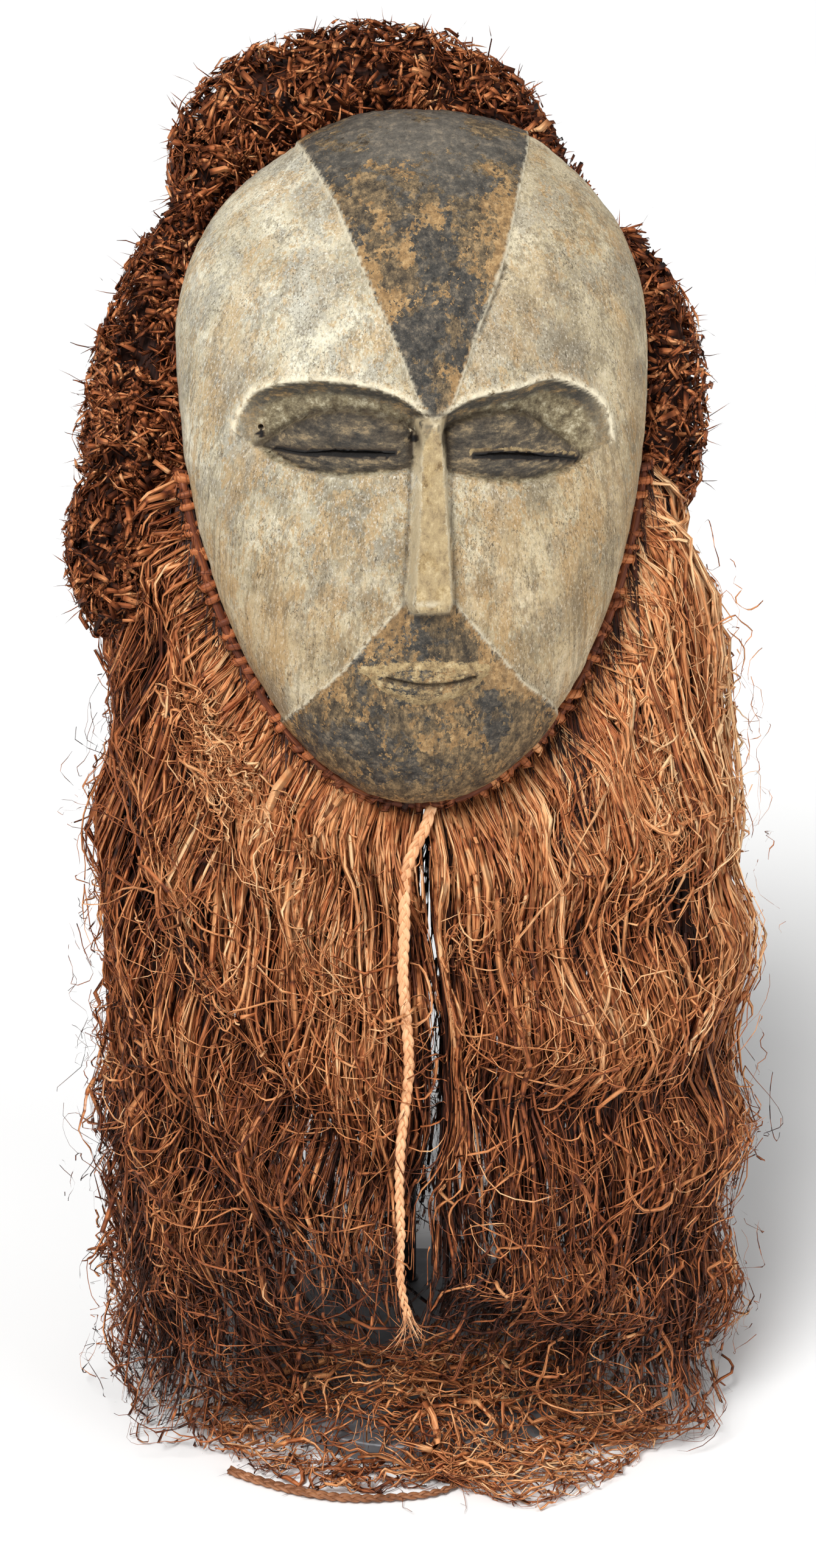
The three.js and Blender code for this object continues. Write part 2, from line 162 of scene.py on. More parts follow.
def waves(rng: np.random.Generator, count: int, along: np.ndarray, cycles: float) -> np.ndarray:
    """Smooth random swings of about plus or minus 1 for count fibres.

    Args:
        rng: the source of chance.
        count: how many fibres.
        along: places along a fibre, from 0 to 1.
        cycles: about how many swings a fibre makes.

    Returns:
        An array of count rows, one value for each place.
    """
    total = np.zeros((count, len(along)))
    for harmonic in (1, 2, 3):
        rate = cycles * harmonic * rng.uniform(0.6, 1.4, (count, 1))
        total += np.sin(2 * math.pi * (rate * along + rng.random((count, 1)))) / harmonic
    return 0.6 * total


def ripples(spots: np.ndarray, size: float, seed: int, octaves: int = 3) -> np.ndarray:
    """Smooth uneven values of about plus or minus 1 at spots, for relief and patches.

    Args:
        spots: the points, one a row.
        size: the width of the largest bumps, in the units of spots.
        seed: picks the pattern.
        octaves: how many finer patterns are added.

    Returns:
        One value for each spot.
    """
    rng = np.random.default_rng(seed)
    total = np.zeros(len(spots))
    for octave in range(octaves):
        for _ in range(4):
            direction = unit(rng.normal(size=spots.shape[1]))
            rate = 2 * math.pi / size * 2**octave * rng.uniform(0.6, 1.3)
            total += np.sin(spots @ direction * rate + rng.uniform(0, 2 * math.pi)) / 2**octave
    return total / 3.0


# The object's own forms


@dataclass(frozen=True)
class FaceForm:
    """The carved face's frame and the dome it is cut from. Local points are across, out and up."""

    lean: float = math.radians(16)
    place: Triple = (0.0, 0.010, 0.615)
    half_width: float = 0.122
    top: float = 0.1243
    bottom: float = 0.2356
    deep: float = 0.090
    crown_roundness: float = 2.2
    wall: float = 0.011

    def to_world(self, across: np.ndarray, out: np.ndarray, up: np.ndarray) -> np.ndarray:
        """Face-local places as points in the part's frame."""
        c, s = math.cos(self.lean), math.sin(self.lean)
        x, y, z = self.place
        return np.stack([across + x, y - c * out + s * up, z + s * out + c * up], axis=-1)

    def share(self, up: np.ndarray, grow: float = 0.0) -> np.ndarray:
        """How much of the dome is left at a level, 1 at the widest and 0 at the crown and the chin."""
        crown = 1 - np.minimum(1, np.abs(up) / (self.top + grow)) ** self.crown_roundness
        jaw = 1 - np.minimum(1, np.abs(up) / (self.bottom + grow)) ** 2
        return np.where(up > 0, crown, jaw)

    def half_width_at(self, up: np.ndarray, grow: float = 0.0) -> np.ndarray:
        """Half the outline's width at a level."""
        power = np.where(up > 0, 1 / self.crown_roundness, 0.5)
        return (self.half_width + grow) * self.share(up, grow) ** power

    def out_at(self, across: np.ndarray, up: np.ndarray, grow: float = 0.0) -> np.ndarray:
        """How far the dome stands out of the rim's plane."""
        half = np.maximum(self.half_width_at(up, grow), 1e-9)
        level = (self.deep + grow) * np.sqrt(self.share(up, grow))
        return level * np.sqrt(np.maximum(0.0, 1 - (across / half) ** 2))

    def normal_at(self, across: np.ndarray, out: np.ndarray, up: np.ndarray) -> np.ndarray:
        """The dome's outward direction, face-local."""
        tall = np.where(up > 0, self.top, self.bottom)
        return unit(np.stack([across / self.half_width**2, out / self.deep**2, up / tall**2], axis=-1))


@dataclass(frozen=True)
class CollarForm:
    """The line the cape is knotted on, and the surface that the cape's outside follows.

    Around is an angle: 0 at the chin, plus or minus pi at the back of the neck, negative on the left.
    """

    face: FaceForm = FaceForm()
    edging_out: float = 7.1 * MM
    edging_radius: float = 5.0 * MM
    setback: float = 2.0 * MM
    reach: float = math.radians(75)
    neck_y: float = 0.118
    neck_z: float = 0.486
    left: float = 0.173
    right: float = 0.190
    front: float = 0.134
    back: float = 0.145
    right_spread: float = 0.022
    tuck: float = 0.03
    side_closing: float = 5.0
    front_closing: float = 2.2

    def rim(self, around: np.ndarray, out: float) -> np.ndarray:
        """Points outside the rim of the face."""
        across = (self.face.half_width + out) * np.sin(around)
        up = -(self.face.bottom + out) * np.cos(around)
        return self.face.to_world(across, np.full_like(across, -self.setback), up)

    def line(self, around: np.ndarray, out: float) -> np.ndarray:
        """Points of the collar, a distance out from the rim."""
        around = np.asarray(around, float)
        around = np.arctan2(np.sin(around), np.cos(around))
        away = np.abs(around)
        start = self.rim(np.array([self.reach]), out)[0]
        share = (away - self.reach) / (math.pi - self.reach)
        x = np.sign(around) * start[0] * np.sin(away) / math.sin(self.reach)
        y = lerp(start[1], self.neck_y + out, np.sin(np.clip(share, 0, 1) * math.pi / 2))
        z = lerp(start[2], self.neck_z, smoothstep(0.0, 0.7, share))
        behind = np.stack([x, y, z], axis=-1)
        return np.where((away <= self.reach)[..., None], self.rim(around, out), behind)

    def hem(self, around: np.ndarray) -> np.ndarray:
        """Points of the hem on the floor, as x and y."""
        wide = np.where(np.sin(around) < 0, self.left, self.right)
        deep = np.where(np.cos(around) > 0, self.front, self.back)
        spread = np.maximum(0, np.sin(2 * around)) * np.where(np.sin(around) > 0, self.right_spread, 0)
        return np.stack([wide * np.sin(around), -deep * np.cos(around) - spread], axis=-1)

    def cape(self, around: np.ndarray, up: np.ndarray, inset: np.ndarray) -> np.ndarray:
        """Points of the cape.

        Args:
            around: the angle.
            up: 0 on the floor and 1 at the collar.
            inset: how far inside the cape's outer surface.

        Returns:
            Points in the part's frame.
        """
        up = np.clip(up, 0.0, 1.0)
        collar = self.line(around, self.edging_out + self.edging_radius)
        hem = self.hem(around)
        front_share = np.maximum(0, np.cos(around))
        closing = up ** lerp(self.side_closing, self.front_closing, front_share)
        flat = lerp(hem, collar[..., :2], closing[..., None])
        length = np.linalg.norm(flat, axis=-1)
        tuck = 1 - self.tuck * (1 - up) ** 3
        flat = flat * ((length * tuck - inset) / np.maximum(length, 1e-9))[..., None]
        return np.concatenate([flat, (up * collar[..., 2])[..., None]], axis=-1)


@dataclass(frozen=True)
class Outline:
    """A carved or painted line on the face: across and up in millimetres."""

    points: tuple[tuple[float, float], ...]
    per_span: int = 1
    closed: bool = True

    def line(self) -> np.ndarray:
        """The line's points, smoothed."""
        return smooth_line(self.points, self.per_span, self.closed)

    def nearest(self, spots: np.ndarray) -> Pair:
        """How far each spot is from the line, and the line's point nearest to it."""
        line = self.line()
        if self.closed:
            line = np.vstack([line, line[:1]])
        best = np.full(len(spots), np.inf)
        place = np.zeros_like(spots)
        for a, b in zip(line, line[1:]):
            run = b - a
            share = np.clip((spots - a) @ run / max(run @ run, 1e-12), 0, 1)
            foot = a + share[:, None] * run
            away = np.linalg.norm(spots - foot, axis=1)
            closer = away < best
            best[closer] = away[closer]
            place[closer] = foot[closer]
        return best, place

    def inside(self, spots: np.ndarray) -> np.ndarray:
        """Whether each spot is inside the closed line."""
        line = self.line()
        found = np.zeros(len(spots), bool)
        for a, b in zip(line, np.roll(line, -1, axis=0)):
            crosses = (a[1] > spots[:, 1]) != (b[1] > spots[:, 1])
            rise = b[1] - a[1] if abs(b[1] - a[1]) > 1e-12 else 1e-12
            found ^= crosses & (spots[:, 0] < a[0] + (spots[:, 1] - a[1]) * (b[0] - a[0]) / rise)
        return found

    def signed(self, spots: np.ndarray) -> np.ndarray:
        """How far inside the closed line each spot is, negative outside."""
        away = self.nearest(spots)[0]
        return np.where(self.inside(spots), away, -away)


@dataclass(frozen=True)
class Brush:
    """One roll of the coiffure: stations of across, up and radius in millimetres, in the face's frame."""

    stations: tuple[Triple, ...]
    face: FaceForm = FaceForm()

    def at(self, along: np.ndarray) -> tuple[np.ndarray, np.ndarray, np.ndarray]:
        """The roll's middle line.

        Args:
            along: places from 0 at the first station to 1 at the last.

        Returns:
            Middle points and directions in the part's frame, and radii.
        """
        across, up, radius = (np.array(column) * MM for column in zip(*self.stations))
        widest = radius.max()
        behind = (radius + widest) / 2 + MM
        line = smooth_line(np.stack([across, -behind, up, radius], axis=1), 16)
        place = np.clip(along, 0, 1) * (len(line) - 1)
        low = np.minimum(place.astype(int), len(line) - 2)
        mixed = lerp(line[low], line[low + 1], (place - low)[:, None])
        step = unit(self.face.to_world(*(line[low + 1] - line[low])[:, :3].T) - np.array(self.face.place))
        return self.face.to_world(*mixed[:, :3].T), step, mixed[:, 3]


# Meshes


def linked(name: str, data: bpy.types.ID) -> bpy.types.Object:
    """A new object in the scene."""
    obj = bpy.data.objects.new(name, data)
    bpy.context.scene.collection.objects.link(obj)
    return obj


def carry(mesh: bpy.types.Mesh, name: str, values: np.ndarray) -> None:
    """Gives every vertex of a mesh a value that materials can read."""
    layer = mesh.attributes.new(name, "FLOAT", "POINT")
    layer.data.foreach_set("value", values.astype(np.float32))


def soften(bm: bmesh.types.BMesh, edges: list, offset: float, segments: int = 3) -> None:
    """Rounds edges."""
    bmesh.ops.bevel(bm, geom=edges, offset=offset, segments=segments, profile=0.5, affect="EDGES",
                    material=-1)


def publish(name: str, bm: bmesh.types.BMesh, smooth: bool = True) -> bpy.types.Object:
    """Makes an object at the origin from a bmesh, and frees the bmesh."""
    mesh = bpy.data.meshes.new(name)
    bm.to_mesh(mesh)
    bm.free()
    mesh.polygons.foreach_set("use_smooth", [smooth] * len(mesh.polygons))
    return linked(name, mesh)


def places_of(verts: Iterable[bmesh.types.BMVert]) -> np.ndarray:
    """The places of vertices, one a row."""
    return np.array([v.co[:] for v in verts])


def put(verts: Iterable[bmesh.types.BMVert], places: np.ndarray) -> None:
    """Moves vertices to places."""
    for vert, place in zip(verts, places):
        vert.co = place


class FibrePattern:
    """One closed fibre: a small prism cut into rings and drawn to a point, to be laid along paths."""

    def __init__(self, rings: int, sides: int = FIBRE_SIDES) -> None:
        """Builds the pattern.

        Args:
            rings: how many points a path has.
            sides: how many sides the fibre has.
        """
        bm = bmesh.new()
        bmesh.ops.create_cone(bm, cap_ends=True, cap_tris=False, segments=sides, radius1=1, radius2=1,
                              depth=1)
        upright = [e for e in bm.edges if abs(e.verts[0].co.z - e.verts[1].co.z) > 0.5]
        bmesh.ops.subdivide_edges(bm, edges=upright, cuts=rings - 2, use_grid_fill=True)
        tip = [v for v in bm.verts if v.co.z > 0.499]
        bmesh.ops.pointmerge(bm, verts=tip, merge_co=(0, 0, 0.5))
        bm.verts.index_update()
        spots = places_of(bm.verts)
        self.ring = np.round((spots[:, 2] + 0.5) * (rings - 1)).astype(int)
        self.x, self.y = spots[:, 0], spots[:, 1]
        side = np.round(np.arctan2(self.y, self.x) / (2 * math.pi) * sides - 0.25).astype(int) % sides
        loops, sizes, turn = [], [], []
        for face in bm.faces:
            ids = [v.index for v in face.verts]
            sides_here = [int(side[i]) for i in ids]
            wraps = 0 in sides_here and sides - 1 in sides_here
            loops += ids
            turn += [s + sides if wraps and s == 0 else s for s in sides_here]
            sizes.append(len(ids))
        bm.free()
        self.loops, self.sizes = np.array(loops), np.array(sizes)
        self.turn = np.array(turn) / sides
        self.triangles = int((self.sizes - 2).sum())


class FibreBatch:
    """Many fibres that become one mesh."""

    def __init__(self, rng: np.random.Generator) -> None:
        """Keeps the source of chance that the batch draws from."""
        self.rng = rng
        self.parts: list[dict[str, np.ndarray]] = []
        self.patterns: dict[tuple[int, int], FibrePattern] = {}

    def lay(self, paths: np.ndarray, width: np.ndarray, tone: np.ndarray, flat: float = 0.4,
            twist: float = 1.5, taper: float = 0.55, facing: Optional[np.ndarray] = None,
            sides: int = FIBRE_SIDES, solid: float = 0.0) -> None:
        """Lays fibres along paths.

        Args:
            paths: points, as fibre, place along it, and x, y, z.
            width: the full width of each fibre.
            tone: how light each fibre is, from 0 to 1, by fibre or by fibre and place.
            flat: the fibre's thickness as a share of its width.
            twist: the turns in radians that a ribbon makes along its length, about.
            taper: how much narrower it is before its tip.
            facing: the directions that the flat side faces, or None for random ones.
            sides: how many sides each fibre has.
            solid: 1 for a fibre that is not split into threads.
        """
        count, rings = paths.shape[:2]
        pattern = self.patterns.setdefault((rings, sides), FibrePattern(rings, sides))
        along = np.linspace(0, 1, rings)
        tangent = unit(np.gradient(paths, axis=1))
        if facing is None:
            facing = unit(self.rng.normal(size=(count, 1, 3)))
            roll = self.rng.normal(0, twist, (count, 1)) * along + self.rng.uniform(0, TURN, (count, 1))
        else:
            roll = np.zeros((count, rings))
        across = unit(np.cross(tangent, facing))
        normal = np.cross(tangent, across)
        c, s = np.cos(roll)[..., None], np.sin(roll)[..., None]
        wide, thin = across * c + normal * s, normal * c - across * s
        half = 0.5 * (width if width.ndim == 2 else width[:, None]) * (1 - taper * along**2)
        ring = pattern.ring
        girdle = wide[:, ring] * pattern.x[:, None] + thin[:, ring] * (flat * pattern.y[:, None])
        points = paths[:, ring] + half[:, ring, None] * girdle
        tone = np.broadcast_to(tone if tone.ndim == 2 else tone[:, None], (count, rings))
        run = np.concatenate([np.zeros((count, 1)),
                              np.cumsum(np.linalg.norm(np.diff(paths, axis=1), axis=2), axis=1)], axis=1)
        start = (np.arange(count) * len(ring))[:, None]
        girth = 4 * half.max(axis=1, keepdims=True)
        apart = np.arange(count)[:, None] * 0.0371 % 3.0
        self.parts.append({
            "points": points.reshape(-1, 3),
            "tone": tone[:, ring].reshape(-1),
            "along": np.broadcast_to(along[ring], (count, len(ring))).reshape(-1),
            "solid": np.full(count * len(ring), solid),
            "loops": (start + pattern.loops).reshape(-1),
            "sizes": np.tile(pattern.sizes, count),
            "u": (apart + pattern.turn * girth).reshape(-1),
            "v": run[:, ring[pattern.loops]].reshape(-1),
        })

    def build(self, name: str) -> bpy.types.Object:
        """The batch as one object."""
        offset = 0
        for part in self.parts:
            part["loops"] = part["loops"] + offset
            offset += len(part["points"])
        joined = {key: np.concatenate([part[key] for part in self.parts]) for key in self.parts[0]}
        mesh = bpy.data.meshes.new(name)
        mesh.vertices.add(len(joined["points"]))
        mesh.vertices.foreach_set("co", joined["points"].astype(np.float32).ravel())
        mesh.loops.add(len(joined["loops"]))
        mesh.loops.foreach_set("vertex_index", joined["loops"].astype(np.int32))
        mesh.polygons.add(len(joined["sizes"]))
        starts = np.concatenate([[0], np.cumsum(joined["sizes"])[:-1]])
        mesh.polygons.foreach_set("loop_start", starts.astype(np.int32))
        mesh.polygons.foreach_set("use_smooth", np.ones(len(starts), bool))
        mesh.update(calc_edges=True)
        for key in ("tone", "along", "solid"):
            carry(mesh, key, joined[key])
        uv = mesh.uv_layers.new(name="fibre")
        uv.data.foreach_set("uv", np.stack([joined["u"], joined["v"]], axis=1).astype(np.float32).ravel())
        return linked(name, mesh)


def finish_piece(obj: bpy.types.Object, material: bpy.types.Material, slot: Slot,
                 *nodes: str) -> bpy.types.Object:
    """Dresses a piece and ties it to the part.

    Args:
        obj: the piece.
        material: its finish.
        slot: the record's material slot it belongs to; not used.
        nodes: the CAD nodes that it stands for.

    Returns:
        The piece.
    """
    obj.data.materials.clear()
    obj.data.materials.append(material)
    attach(obj, "root")
    if nodes:
        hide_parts(*nodes)
    triangles = sum(len(p.vertices) - 2 for p in obj.data.polygons) if obj.type == "MESH" else 0
    LOG.info("%s: %d triangles", obj.name, triangles)
    return obj


# The carved face


@dataclass(frozen=True)
class CarvedLines:
    """Every line cut or painted on the face, in millimetres across and up."""

    forehead: Outline = Outline((
        (-72, 150), (-55.5, 111), (-41.5, 79), (-26.3, 34), (-10.9, -4), (-5.5, -20), (2.5, -32),
        (12, -23), (25, 13), (40, 49), (48, 77), (59, 108), (76, 150)))
    wedge: Outline = Outline((
        (-12, -121), (-29, -139), (-42.5, -156.5), (-68, -183), (-110, -250), (110, -250), (63, -180),
        (50, -169.5), (30, -146), (12, -123)))
    brow_left: Outline = Outline((
        (-95, -35), (-93, -28), (-86, -16.7), (-78, -12.7), (-62, -9.9), (-43, -10.5), (-24, -14.6),
        (-10.7, -20.7), (-2, -28), (2, -32)), 3, False)
    brow_right: Outline = Outline((
        (95.7, -45), (94, -35), (88.6, -24), (76, -16), (62, -12.2), (46, -16.2), (24, -20), (12, -25.4),
        (3, -32)), 3, False)
    lid_left: Outline = Outline((
        (-84.5, -42.7), (-78, -37.2), (-64, -29), (-44, -26), (-24, -29.2), (-8.5, -36), (-6.8, -46),
        (-7.5, -53.8), (-28, -57), (-47, -57.5), (-65, -54.3), (-78, -47)), 3)
    lid_right: Outline = Outline(((9, -37), (16, -32.6), (36, -29.2), (52, -30.3), (69, -40.7),
                                  (82.8, -52.8), (69, -59.6), (49, -63.2), (28.6, -61.1), (10, -56.6),
                                  (8.6, -46)), 3)
    under_left: Outline = Outline((
        (-95, -36), (-90, -40), (-84.5, -43.2), (-72, -52), (-47, -58), (-28, -57.4), (-8, -54.4)), 3, False)
    under_right: Outline = Outline((
        (95.7, -46), (90, -50), (83, -53.3), (69, -60), (49, -63.7), (28.6, -61.6), (10, -57.2)), 3, False)
    slit_left: Outline = Outline(((-75.4, -43.9), (-60, -44.6), (-43, -45), (-33, -45.4), (-17, -45.8)), 2,
                                 False)
    slit_right: Outline = Outline(((23, -48), (36, -48.2), (49, -49.3), (61, -50.7), (76, -53)), 2, False)
    nose: Outline = Outline((
        (-3.6, -31.5), (5.6, -31.5), (7.6, -80), (9.4, -122), (7.2, -126.4), (-7.2, -126.2), (-9.3, -122),
        (-6.0, -80)))
    nose_foot: Outline = Outline(((-7.0, -29.2), (8.6, -29.2), (9.4, -80), (11.2, -122.6), (9.2, -128),
                                  (-9.8, -127.8), (-12.8, -122.4), (-9.6, -80)))
    mouth: Outline = Outline((
        (-33, -156), (-32, -159.4), (-19, -170.5), (-2, -175.3), (15.6, -170.9), (27, -162), (27.5, -156.5),
        (0, -154)), 3)
    mouth_slit: Outline = Outline(((-22, -161.4), (-13, -163.8), (-2, -165.3), (9.4, -165), (22, -162.4)),
                                  2, False)
    crack: Outline = Outline(((27, 12), (31, 22), (36, 33), (41, 46)), 2, False)
    drilled: tuple[tuple[float, float], ...] = ((-82, -36.8), (-7.9, -39.8))


@dataclass(frozen=True)
class MaskFace:
    """The carved and painted wooden face, hollow behind."""

    form: FaceForm = FaceForm()
    lines: CarvedLines = CarvedLines()
    columns: int = 194
    rows: int = 248
    hollow_columns: int = 84
    hollow_rows: int = 110
    snap: float = 0.56
    plate_step: float = 1.8
    plate_wall: float = 0.65
    socket_depth: float = 12.5
    socket_slope: float = 7.5
    socket_fade: float = 26.0
    lid_sunk_top: float = 11.2
    lid_sunk_bottom: float = 3.4
    lid_swell: float = 4.8
    lid_slope: float = 5.0
    brow_ridge: float = 1.1
    behind_eyes: float = 5.0
    nose_out_top: float = 95.0
    nose_out_bottom: float = 93.0
    lip_rise: float = 2.2
    mouth_cut: float = 2.8
    slit_dip: float = 0.8
    crease_depth: float = 1.3
    crack_depth: float = 0.9
    hole_dip: float = 0.8
    tool_marks: float = 0.40
    rim_round: float = 0.9
    slit_heights: tuple[float, float] = (2.2, 2.3)
    slit_slope: float = 0.62
    slit_steps: int = 16
    hole_radius: float = 1.5

    def places(self, spots: np.ndarray, grow: float = 0.0) -> np.ndarray:
        """Spots of the square grid from -1 to 1 as millimetres across and up on the face's outline."""
        s, t = spots[:, 0], spots[:, 1]
        p = s * np.sqrt(1 - t**2 / 2)
        q = t * np.sqrt(1 - s**2 / 2)
        radius = np.hypot(p, q)
        spread = np.where(radius > 1e-9, 1.43 - 0.43 * radius**2, 1.43)
        p, q = p * spread, q * spread
        over = np.maximum(1.0, np.hypot(p, q))
        p, q = p / over, q / over
        up = q * (np.where(q > 0, self.form.top, self.form.bottom) + grow)
        half = self.form.half_width_at(up, grow)
        across = p / np.sqrt(np.maximum(1 - q**2, 1e-9)) * half
        return np.stack([across, up], axis=1) / MM

    def crowd(self, values: np.ndarray, spots: Sequence[Triple], tilt: float) -> np.ndarray:
        """Moves grid lines from -1 to 1 closer together near spots.

        Args:
            values: where the lines were.
            spots: each the place, the width and the strength of a crowding.
            tilt: how many more lines the lower half gets.

        Returns:
            Where the lines are now.
        """
        fine = np.linspace(-1, 1, 2001)
        density = 1 + tilt * smoothstep(0.15, -0.15, fine)
        for place, width, strength in spots:
            density += strength * hump(fine - place, width)
        run = np.concatenate([[0], np.cumsum((density[1:] + density[:-1]) / 2)])
        return np.interp((values + 1) / 2, run / run[-1], fine)

    def snapped(self, places: np.ndarray, columns: int) -> Pair:
        """Moves the places nearest to the carved lines onto them, so that every edge is crisp.

        Args:
            places: the grid's places, row by row.
            columns: how many cells a row has.

        Returns:
            The places, and which of them were moved.
        """
        width = columns + 1
        grid = places.reshape(-1, width, 2)
        cell = np.minimum(np.linalg.norm(np.gradient(grid, axis=0), axis=2),
                          np.linalg.norm(np.gradient(grid, axis=1), axis=2))
        reach = self.snap * cell.reshape(-1)
        moved = places.copy()
        inner = np.zeros(grid.shape[:2], bool)
        inner[2:-2, 2:-2] = True
        free = inner.reshape(-1)
        for outline in (self.lines.nose, self.lines.nose_foot, self.lines.lid_left, self.lines.lid_right,
                        self.lines.brow_left, self.lines.brow_right, self.lines.forehead, self.lines.wedge,
                        self.lines.mouth, self.lines.mouth_slit, self.lines.under_left,
                        self.lines.under_right):
            away, foot = outline.nearest(places)
            close = free & (away < reach)
            moved[close] = foot[close]
            free &= ~close
        return moved, (moved != places).any(axis=1)

    def eye(self, places: np.ndarray, brow: Outline, under: Outline, lid: Outline) -> Pair:
        """The depth of an eye socket with its lid.

        Args:
            places: millimetres across and up.
            brow: the socket's upper edge.
            under: the socket's lower edge.
            lid: the lid's edge.

        Returns:
            The depth at each place, and how far inside the socket it is.
        """
        ring = Outline(tuple(map(tuple, np.vstack([brow.line(), under.line()[::-1]]))))
        inside = ring.inside(places)
        below_brow = brow.nearest(places)[0]
        above_under = under.nearest(places)[0]
        depth = -self.socket_depth * (1 - np.exp(-below_brow / self.socket_slope))
        depth *= np.clip(above_under / 5.0, 0, 1) ** 0.7 * inside
        depth *= smoothstep(0.0, self.socket_fade,
                            np.abs(lid.line()).max(axis=0)[0] + 13 - np.abs(places[:, 0]))
        within = lid.signed(places)
        down = below_brow / np.maximum(below_brow + above_under, 1e-6)
        sunk = lerp(self.lid_sunk_top, self.lid_sunk_bottom, down)
        swollen = -sunk + self.lid_swell * (1 - np.exp(-np.maximum(within, 0) / self.lid_slope))
        on_lid = smoothstep(-0.5, 0.02, within)
        return lerp(depth, swollen, on_lid), np.where(inside | (within > 0), below_brow, -1.0)

    def relief(self, places: np.ndarray) -> tuple[np.ndarray, dict[str, np.ndarray]]:
        """The carved surface.

        Args:
            places: millimetres across and up.

        Returns:
            Face-local points in metres, and the masks that the paint follows.
        """
        lines = self.lines
        across, up = places[:, 0] * MM, places[:, 1] * MM
        out = self.form.out_at(across, up)
        normal = self.form.normal_at(across, out, up)
        forehead, wedge = lines.forehead.signed(places), lines.wedge.signed(places)
        plate = np.maximum(forehead, wedge)
        nose = lines.nose.signed(places)
        foot = lines.nose_foot.signed(places)
        mouth = lines.mouth.signed(places)
        slit = lines.mouth_slit.nearest(places)[0]
        eye_left, socket_left = self.eye(places, lines.brow_left, lines.under_left, lines.lid_left)
        eye_right, socket_right = self.eye(places, lines.brow_right, lines.under_right, lines.lid_right)
        socket = np.maximum(socket_left, socket_right)
        rise = self.plate_step * smoothstep(-self.plate_wall, -0.03, plate)
        rise += np.where(socket > 0, -rise, 0) + eye_left + eye_right
        fullness = 0.72 + 0.28 * smoothstep(-160, -166, places[:, 1])
        rise += self.lip_rise * smoothstep(-1.2, 2.8, mouth) * fullness
        rise -= self.mouth_cut * hump(slit, 1.0)
        slits = np.minimum(lines.slit_left.nearest(places)[0], lines.slit_right.nearest(places)[0])
        rise -= self.slit_dip * hump(slits, 1.7)
        lid = np.maximum(lines.lid_left.signed(places), lines.lid_right.signed(places))
        crease = (socket > 0) * smoothstep(-48, -42, places[:, 1]) * smoothstep(4.0, 8.0, socket)
        rise -= self.crease_depth * crease * hump(lid + 0.7, 1.1)
        brow = np.minimum(lines.brow_left.nearest(places)[0], lines.brow_right.nearest(places)[0])
        rise += self.brow_ridge * np.where(socket <= 0, hump(brow, 3.2), hump(brow, 1.2))
        crack = lines.crack.nearest(places)[0]
        rise -= self.crack_depth * hump(crack, 0.45)
        rise += self.tool_marks * ripples(places * (1.0, 0.45), 16.0, 11)
        rise += 0.10 * ripples(places * (1.0, 0.35), 3.2, 12, 2)
        for hole in lines.drilled:
            rise -= self.hole_dip * hump(np.hypot(*(places - hole).T), 2.2)
        points = np.stack([across, out, up], axis=1) + normal * rise[:, None] * MM
        share = np.clip((places[:, 1] + 31) / -94, 0, 1)
        facet = lerp(self.nose_out_top, self.nose_out_bottom, share) * MM
        facet += 0.00016 * ripples(places * (1.0, 0.3), 9.0, 13)
        wall = np.clip(np.abs(nose) / np.maximum(np.abs(nose) + np.abs(foot), 1e-6), 0, 1)
        raised = np.where(nose >= 0, facet, lerp(facet, points[:, 1], wall))
        points[:, 1] = np.where(foot > 0, np.maximum(points[:, 1], raised), points[:, 1])
        plate_line = np.minimum(np.abs(forehead), np.abs(wedge))
        slit_foot = np.minimum(places[:, 1] - lines.slit_left.nearest(places)[1][:, 1],
                               places[:, 1] - lines.slit_right.nearest(places)[1][:, 1])
        under_slit = smoothstep(3.6, 1.2, slits) * (slit_foot < 0) * (lid > 0)
        crease = crease * hump(lid + 0.7, 1.6)
        outer = smoothstep(95, 80, np.abs(places[:, 0])) * 0.65 + 0.35
        soot = ((forehead > 0)
                * np.clip(smoothstep(22, 2, places[:, 1]) + 0.8 * smoothstep(76, 98, places[:, 1]), 0, 1))
        masks = {
            "paint": np.clip(np.maximum(plate, 0.9 * lid), -20, 20),
            "lid": smoothstep(-0.4, 0.8, lid),
            # Where the sockets get dirt and painted shade, less at their outer ends
            "socket": (np.where(socket > 0, smoothstep(0.0, 1.2, socket), 0)
                       * smoothstep(0.9, -0.2, lid) * outer),
            "band": (np.where(socket > 0, smoothstep(9.0, 5.5, socket) * smoothstep(0.3, 1.2, socket), 0)
                     * outer),
            # Ledges of the plates and brows: worn white edges, and a painted highlight where they catch the
            # light
            "ledge": np.maximum(
                hump(plate_line + 0.5, 1.1) * (plate < 0.8),
                np.where(socket <= 0, hump(brow, 2.2), hump(brow, 0.7))),
            "edge": np.where(plate > 0, np.exp(-plate / 5.0), 0),
            "ochre": np.clip(0.55 * smoothstep(-1.0, 1.0, mouth) + 0.6 * hump(mouth, 2.2)
                             + smoothstep(-0.5, 1.0, nose) + under_slit, 0, 1),
            "soot": soot,
            "nose": smoothstep(-0.3, 0.4, foot) - 0.6 * smoothstep(-0.2, 1.5, nose),
            # Dark marks: grime in the slits and the crack, and painted shade in the lid creases, round the
            # nose foot and along the plates' inner edges
            "grime_and_shade": np.clip(
                hump(slit, 1.5) + hump(slits, 1.5) + 0.9 * hump(crack, 0.7)
                + 0.7 * hump(foot + 1.0, 1.5) * (foot < 0) + crease
                + 0.55 * hump(plate - 0.5, 0.5), 0, 1),
            "inside": np.zeros(len(places)),
        }
        return points, masks

